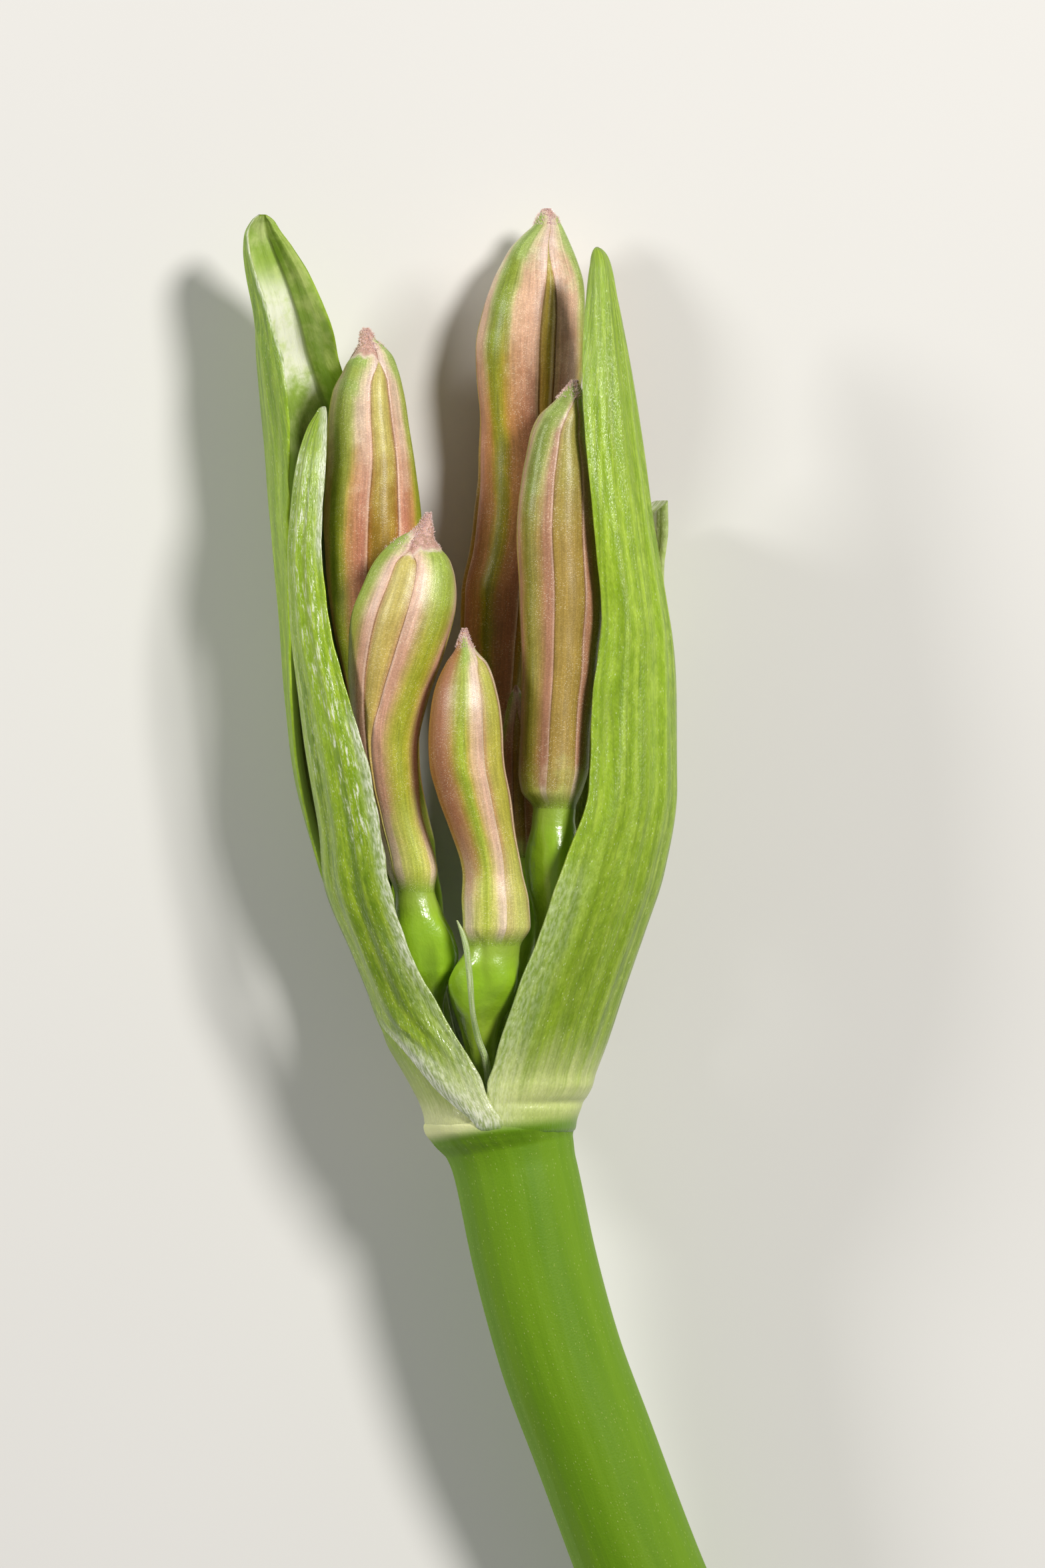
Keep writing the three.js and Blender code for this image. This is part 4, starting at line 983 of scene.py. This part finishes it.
for seed, (name, leaf) in enumerate(LEAVES.items(), 1):
    piece_from_rings(name, *leaf_rings(leaf, seed), leaf["finish"], leaf["slot"], [leaf["node"]])

# %% [markdown]
# ## The papery sliver
# A bracteole stands before the smallest front bud: a ribbon a third of a millimetre wide that curls away at
# its tip and widens a little low down. Its stations are [y, x, half-width, z].

# %% Bracteole
BRACTEOLE = [
    [0.3, -0.62, 0.12, 2.1], [1.4, -0.62, 0.14, 2.4], [2.4, -0.62, 0.17, 2.75], [3.2, -0.74, 0.19, 3],
    [4.2, -1.08, 0.16, 3.3], [5.5, -1.34, 0.13, 4], [7, -1.46, 0.15, 4.5], [8.3, -1.6, 0.15, 4.62],
    [9.1, -1.8, 0.12, 4.6], [9.7, -2.05, 0.04, 4.6],
]
SLIVER_THICKNESS = 0.09
SLIVER_GRAIN_RADIUS = 0.2
SLIVER_GRID = (120, 20)


def ribbon_rings(rows, level_count, around):
    """A flat ellipse at each height, slightly cupped: x + w cos a across, and z + thickness/2 sin a - 0.5 w
    cos^2 a."""
    y = levels(rows[0][0], rows[-1][0], level_count, 0)[:, None]
    a = np.linspace(0, 2 * np.pi, around + 1)[None, :]
    x, half_width, z = through(rows)(y)
    cup = 0.5 * half_width * np.cos(a) ** 2
    thick = SLIVER_THICKNESS / 2 * np.minimum(1, half_width / 0.1)
    rings = stacked(x + half_width * np.cos(a), y, z + thick * np.sin(a) - cup)
    return rings[:, :-1], {}, stacked(a * SLIVER_GRAIN_RADIUS, y)


def sliver_skin():
    """Pale green tissue with fine whitish streaks."""
    start_finish("sliver_skin", 0.38, 0.5, specular=0.6)
    streaks = streaky(14, 0.8)
    colour = blend(spread(streaks, 0.3, 0.7), "92b05a", "ccd8ac")
    return finished(colour, streaks - cells(14) * 0.5, 0.03)


surface = ribbon_rings(BRACTEOLE, *SLIVER_GRID)
piece_from_rings("bracteole_ribbon", *surface, sliver_skin(), "bracteole_paper", ["bracteole"])

# %% [markdown]
# ## The scape
# The stem is solid, round and fleshy. It widens under the head into a pale collar, and its lower end is a
# clean cut. Rings square to its curved middle line make it, and more rings go on inwards over the cut face
# and over the top, so that the whole is one closed skin.

# %% Scape surface
CUT_Y = -29
COLLAR_START_Y = -2.1
TOP_Y = 0.3
SCAPE_GRAIN_RADIUS = 2.9
SCAPE_LINE = [
    [CUT_Y, 10.1, -3.84], [-20.7, 6.5, -2.05], [-14.8, 4.3, -1.1], [-10.6, 2.75, -0.6], [-6.4, 1.6, -0.25],
    [COLLAR_START_Y, 0.68, 0], [-1.0, 0.4, 0], [-0.5, 0.1, 0], [-0.1, -0.05, 0], [TOP_Y, -0.1, 0],
]
SCAPE_RADII = [
    [CUT_Y, 2.9], [COLLAR_START_Y, 2.9], [-1, 3.02], [-0.5, 3.32], [-0.1, 3.52], [0.12, 3.52], [TOP_Y, 3.38],
]
COLLAR_LEAN = [[-1.0, 10], [-0.5, 6], [-0.1, 3], [TOP_Y, 0]]
SCAPE_GRID = (150, 160, 22)
STEP = 0.01


def scape_rings(level_count, around, end_count):
    """Ring at height y, square to the middle line: middle + r cos a (cos lean, sin lean, 0) + r sin a (0,
    -sin pitch, cos pitch). r has faint ridges, a rounded lip on the collar's left and fine wrinkles."""
    below = levels(CUT_Y, COLLAR_START_Y, level_count, 0)
    heights = np.concatenate([below, levels(COLLAR_START_Y, TOP_Y, level_count // 3, 0)[1:]])
    line = through(SCAPE_LINE)
    rise_x, rise_z = line(np.minimum(heights + STEP, COLLAR_START_Y + STEP)) - line(heights - STEP)
    bends = heights < COLLAR_START_Y
    lean = np.arctan2(-rise_x, 2 * STEP)
    collar_lean = through([[COLLAR_START_Y, np.degrees(lean[bends][-1])]] + COLLAR_LEAN)(heights)[0]
    lean = np.where(bends, lean, np.radians(collar_lean))
    pitch = np.where(bends, np.arctan2(rise_z, 2 * STEP), 0)
    y, lean, pitch = (np.pad(values, end_count, "edge")[:, None] for values in (heights, lean, pitch))
    inwards = np.linspace(0.03, 1, end_count + 1)[:-1]
    share = np.concatenate([inwards, np.ones(len(heights)), inwards[::-1]])[:, None]
    at_cut = y < CUT_Y + 9
    x, z = line(y)
    a = np.linspace(0, 2 * np.pi, around + 1)[None, :]
    lip = 0.09 * bell(a, np.pi, 0.7) * bell(y, 0.05, 0.22)
    ridges = 0.008 * np.cos(23 * a + 0.05 * y) + 0.012 * unevenness(a, 0.3 * y, 31)
    wrinkles = 0.015 * np.cos(31 * a + 2 * np.sin(3 * a)) * bell(y, -0.6, 0.3)
    r = share * (through(SCAPE_RADII)(y)[0] + lip + (ridges - 0.02) * smooth(share, 0.6, 1) + wrinkles)
    recess = at_cut * (0.06 * (1 - share) + 0.05 * smooth(share, 0.9, 1.0) * (share < 1))
    top = np.where(y > 0.2, 0.35 * (1 - share), 0)
    rings = stacked(
        x + r * np.cos(a) * np.cos(lean) - np.sin(lean) * recess,
        y + r * np.cos(a) * np.sin(lean) - r * np.sin(a) * np.sin(pitch) + np.cos(lean) * recess + top,
        z + r * np.sin(a) * np.cos(pitch),
    )[:, :-1]
    marks = {
        "collar": 1 - rooted(rings[..., 0], rings[..., 1]),
        "left": to_the_left(rings[..., 0]),
        "cut": at_cut * (1 - share),
        "cut_face": at_cut * (share < 1),
    }
    return rings, marks, stacked(a * SCAPE_GRAIN_RADIUS, y)


# %% [markdown]
# The stem's bright green skin has short pale dots, each a breathing pore with its light rim. On the cut face
# the pith is pale, with darker dots where the vessels run.

# %% Scape skin
def scape_skin():
    """Green flesh with lengthwise dots, a cream collar, and a pale cut face with vessel dots."""
    start_finish("scape_skin", 0.55, 0.25, specular=0.3)
    fine = streaky(5, 0.25, 4, 0.6)
    pores = lengthwise(8.5, 5)
    dot = spread(cells(1, vector=pores), 0.3, 0.1) * spread(cells(1, "Color", pores), 0.4, 0.9)
    vessel = spread(cells(2.6), 0.24, 0.12)
    pith = ramp(mark_of("cut"), [
        (0, "96ba46"), (0.12, "bace70"), (0.3, "d0dc94"), (1, "dee6b0"),
    ])
    colour = layered(
        blend(spread(streaky(0.6, 0.06), 0.3, 0.7), STEM_GREEN, "709812"),
        (spread(fine, 0.45, 0.75) * 0.12, "8aae2e"),
        (dot * 0.4, "c4d676"),
        (mark_of("collar"), collar_colour()),
        (mark_of("cut_face"), blend(vessel * 0.5, pith, "8ea842")),
    )
    return finished(colour, dot * 0.6 + fine - cells(10) * 0.3, 0.02)


piece_from_rings("scape_flesh", *scape_rings(*SCAPE_GRID), scape_skin(), "scape_green", ["scape"])

# %% [markdown]
# ## Papillae at the tips
# Each bud ends in a tuft of tiny glassy papillae. Hair curves wouldn't outlive the export, so they are
# four-sided spikes on the bud's own surface, placed by a seeded draw that grows denser towards the tip.

# %% Papillae
BEAK_LENGTHS = {"back_left": 1.1, "back_tall": 0.8, "front_left": 1.7, "front_small": 0.9, "right": 0.9}
PAPILLAE_PER_BUD = 800
PAPILLA_LENGTH = 0.11
PAPILLA_HALF_WIDTH = 0.0275
PAPILLA_ROOT = 0.02
SPIKE_FACES = np.array([[0, 1, 4], [1, 2, 4], [2, 3, 4], [3, 0, 4], [0, 3, 2], [0, 2, 1]])


def unit(vectors):
    """Vectors brought to length 1."""
    return vectors / np.linalg.norm(vectors, axis=1)[:, None]


def spikes_on(rings, i, j, draw):
    """Points of four-sided spikes at rings[i, j], along the surface's normal with some scatter: four round
    the foot, and a tip one reach further out."""
    foot = rings[i, j]
    up = rings[i + 1, j] - rings[i - 1, j]
    normal = np.cross(rings[i, (j + 1) % rings.shape[1]] - rings[i, j - 1], up)
    outward = np.sign(np.einsum("ij,ij->i", normal, foot - rings[i].mean(axis=1)))
    normal = unit(normal * outward[:, None])
    normal = unit(normal + draw.normal(0, 0.35, normal.shape) + [0, 0.5, 0])
    side = unit(np.cross(normal, draw.normal(0, 1, normal.shape)))
    other = np.cross(normal, side)
    reach = PAPILLA_LENGTH * draw.uniform(0.5, 1.2, len(i))[:, None]
    ways = (side, other, -side, -other)
    corners = [foot + PAPILLA_HALF_WIDTH * way - PAPILLA_ROOT * normal for way in ways]
    return np.stack([*corners, foot + reach * normal], axis=1).reshape(-1, 3)


def papilla_skin():
    """Glassy pinkish white."""
    start_finish("papilla_skin", 0.25, 0.4, specular=0.7)
    cloud = cloudy(3, 2)
    return finished(blend(cloud, "e2aa9c", "fae8dc"), cloud, 0.005)


draw = np.random.default_rng(7)
spikes = []
for place, beak_length in BEAK_LENGTHS.items():
    rings = bud_rings[place]
    heights = rings[:, 0, 1]
    aimed = heights[-1] - beak_length * draw.uniform(0, 1, PAPILLAE_PER_BUD) ** 1.3
    i = np.clip(np.searchsorted(heights, aimed), 1, len(rings) - 2)
    j = draw.integers(0, rings.shape[1], len(i))
    spikes.append(spikes_on(rings, i, j, draw))
spikes = np.concatenate(spikes)
faces = (SPIKE_FACES + 5 * np.arange(len(spikes) // 5)[:, None, None]).reshape(-1, 3)
papillae = mesh_piece("tip_papillae", in_metres(spikes), faces.tolist(), papilla_skin())
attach(papillae, "root")
print("all pieces:", sum(made_triangles.values()), "triangles")

# %% [markdown]
# ## The studio
# The head lies on a plain pale floor. A soft light comes from the upper right and a weaker one from the
# upper left, and a pale sky fills the shadows. The camera is straight above with a long lens.

# %% Floor, lights and camera
FLOOR_HALF = 1.5
start_finish("floor_finish", 0.9, 0, specular=0.1)
speckle = cloudy(0.02, 2)
floor_finish = finished(blend(speckle, "deddda", "e4e3e1"), speckle, 0.01)
floor_corners = [(FLOOR_HALF * x, FLOOR_HALF * y, 0) for x, y in ((-1, -1), (1, -1), (1, 1), (-1, 1))]
floor = mesh_piece("studio_floor", floor_corners, [(0, 1, 2, 3)], floor_finish)


def soft_light(name, place, size, power, colour):
    """A round area light at place that faces the head, in metres and watts."""
    lamp = bpy.data.lights.new(name, "AREA")
    lamp.shape = "DISK"
    lamp.size = size
    lamp.energy = power
    lamp.color = colour
    light = linked(name, lamp)
    light.location = place
    light.rotation_euler = (Vector(HEAD_MIDDLE) - Vector(place)).to_track_quat("-Z", "Y").to_euler()


HEAD_MIDDLE = (0.0, 0.004, 0.005)
soft_light("key", (0.24, 0.2, 0.38), 0.11, 2.25, (1.0, 0.97, 0.93))
soft_light("fill", (-0.34, 0.16, 0.2), 0.1, 0.85, (1.0, 0.99, 0.96))

world = bpy.data.worlds.new("studio_sky")
bpy.context.scene.world = world
world.use_nodes = True
sky = world.node_tree.nodes["Background"]
sky.inputs["Color"].default_value = (0.98, 0.98, 0.96, 1.0)
sky.inputs["Strength"].default_value = 0.145

VIEW_MIDDLE = np.array([1.0, 16.06, REST_Z])
VIEW_HEIGHT = 73.5
CAMERA_DISTANCE = 1.0
SENSOR = 36.0
lens = bpy.data.cameras.new("camera")
lens.sensor_width = SENSOR
lens.lens = SENSOR * CAMERA_DISTANCE / (VIEW_HEIGHT * MM)
lens.clip_start = 0.01
lens.clip_end = 10
camera = linked("camera", lens)
look_at = (VIEW_MIDDLE + head_shift) * MM
camera.location = (look_at[0], look_at[1], CAMERA_DISTANCE - REST_Z * MM)
bpy.context.scene.camera = camera
bpy.context.scene.view_settings.view_transform = "Standard"
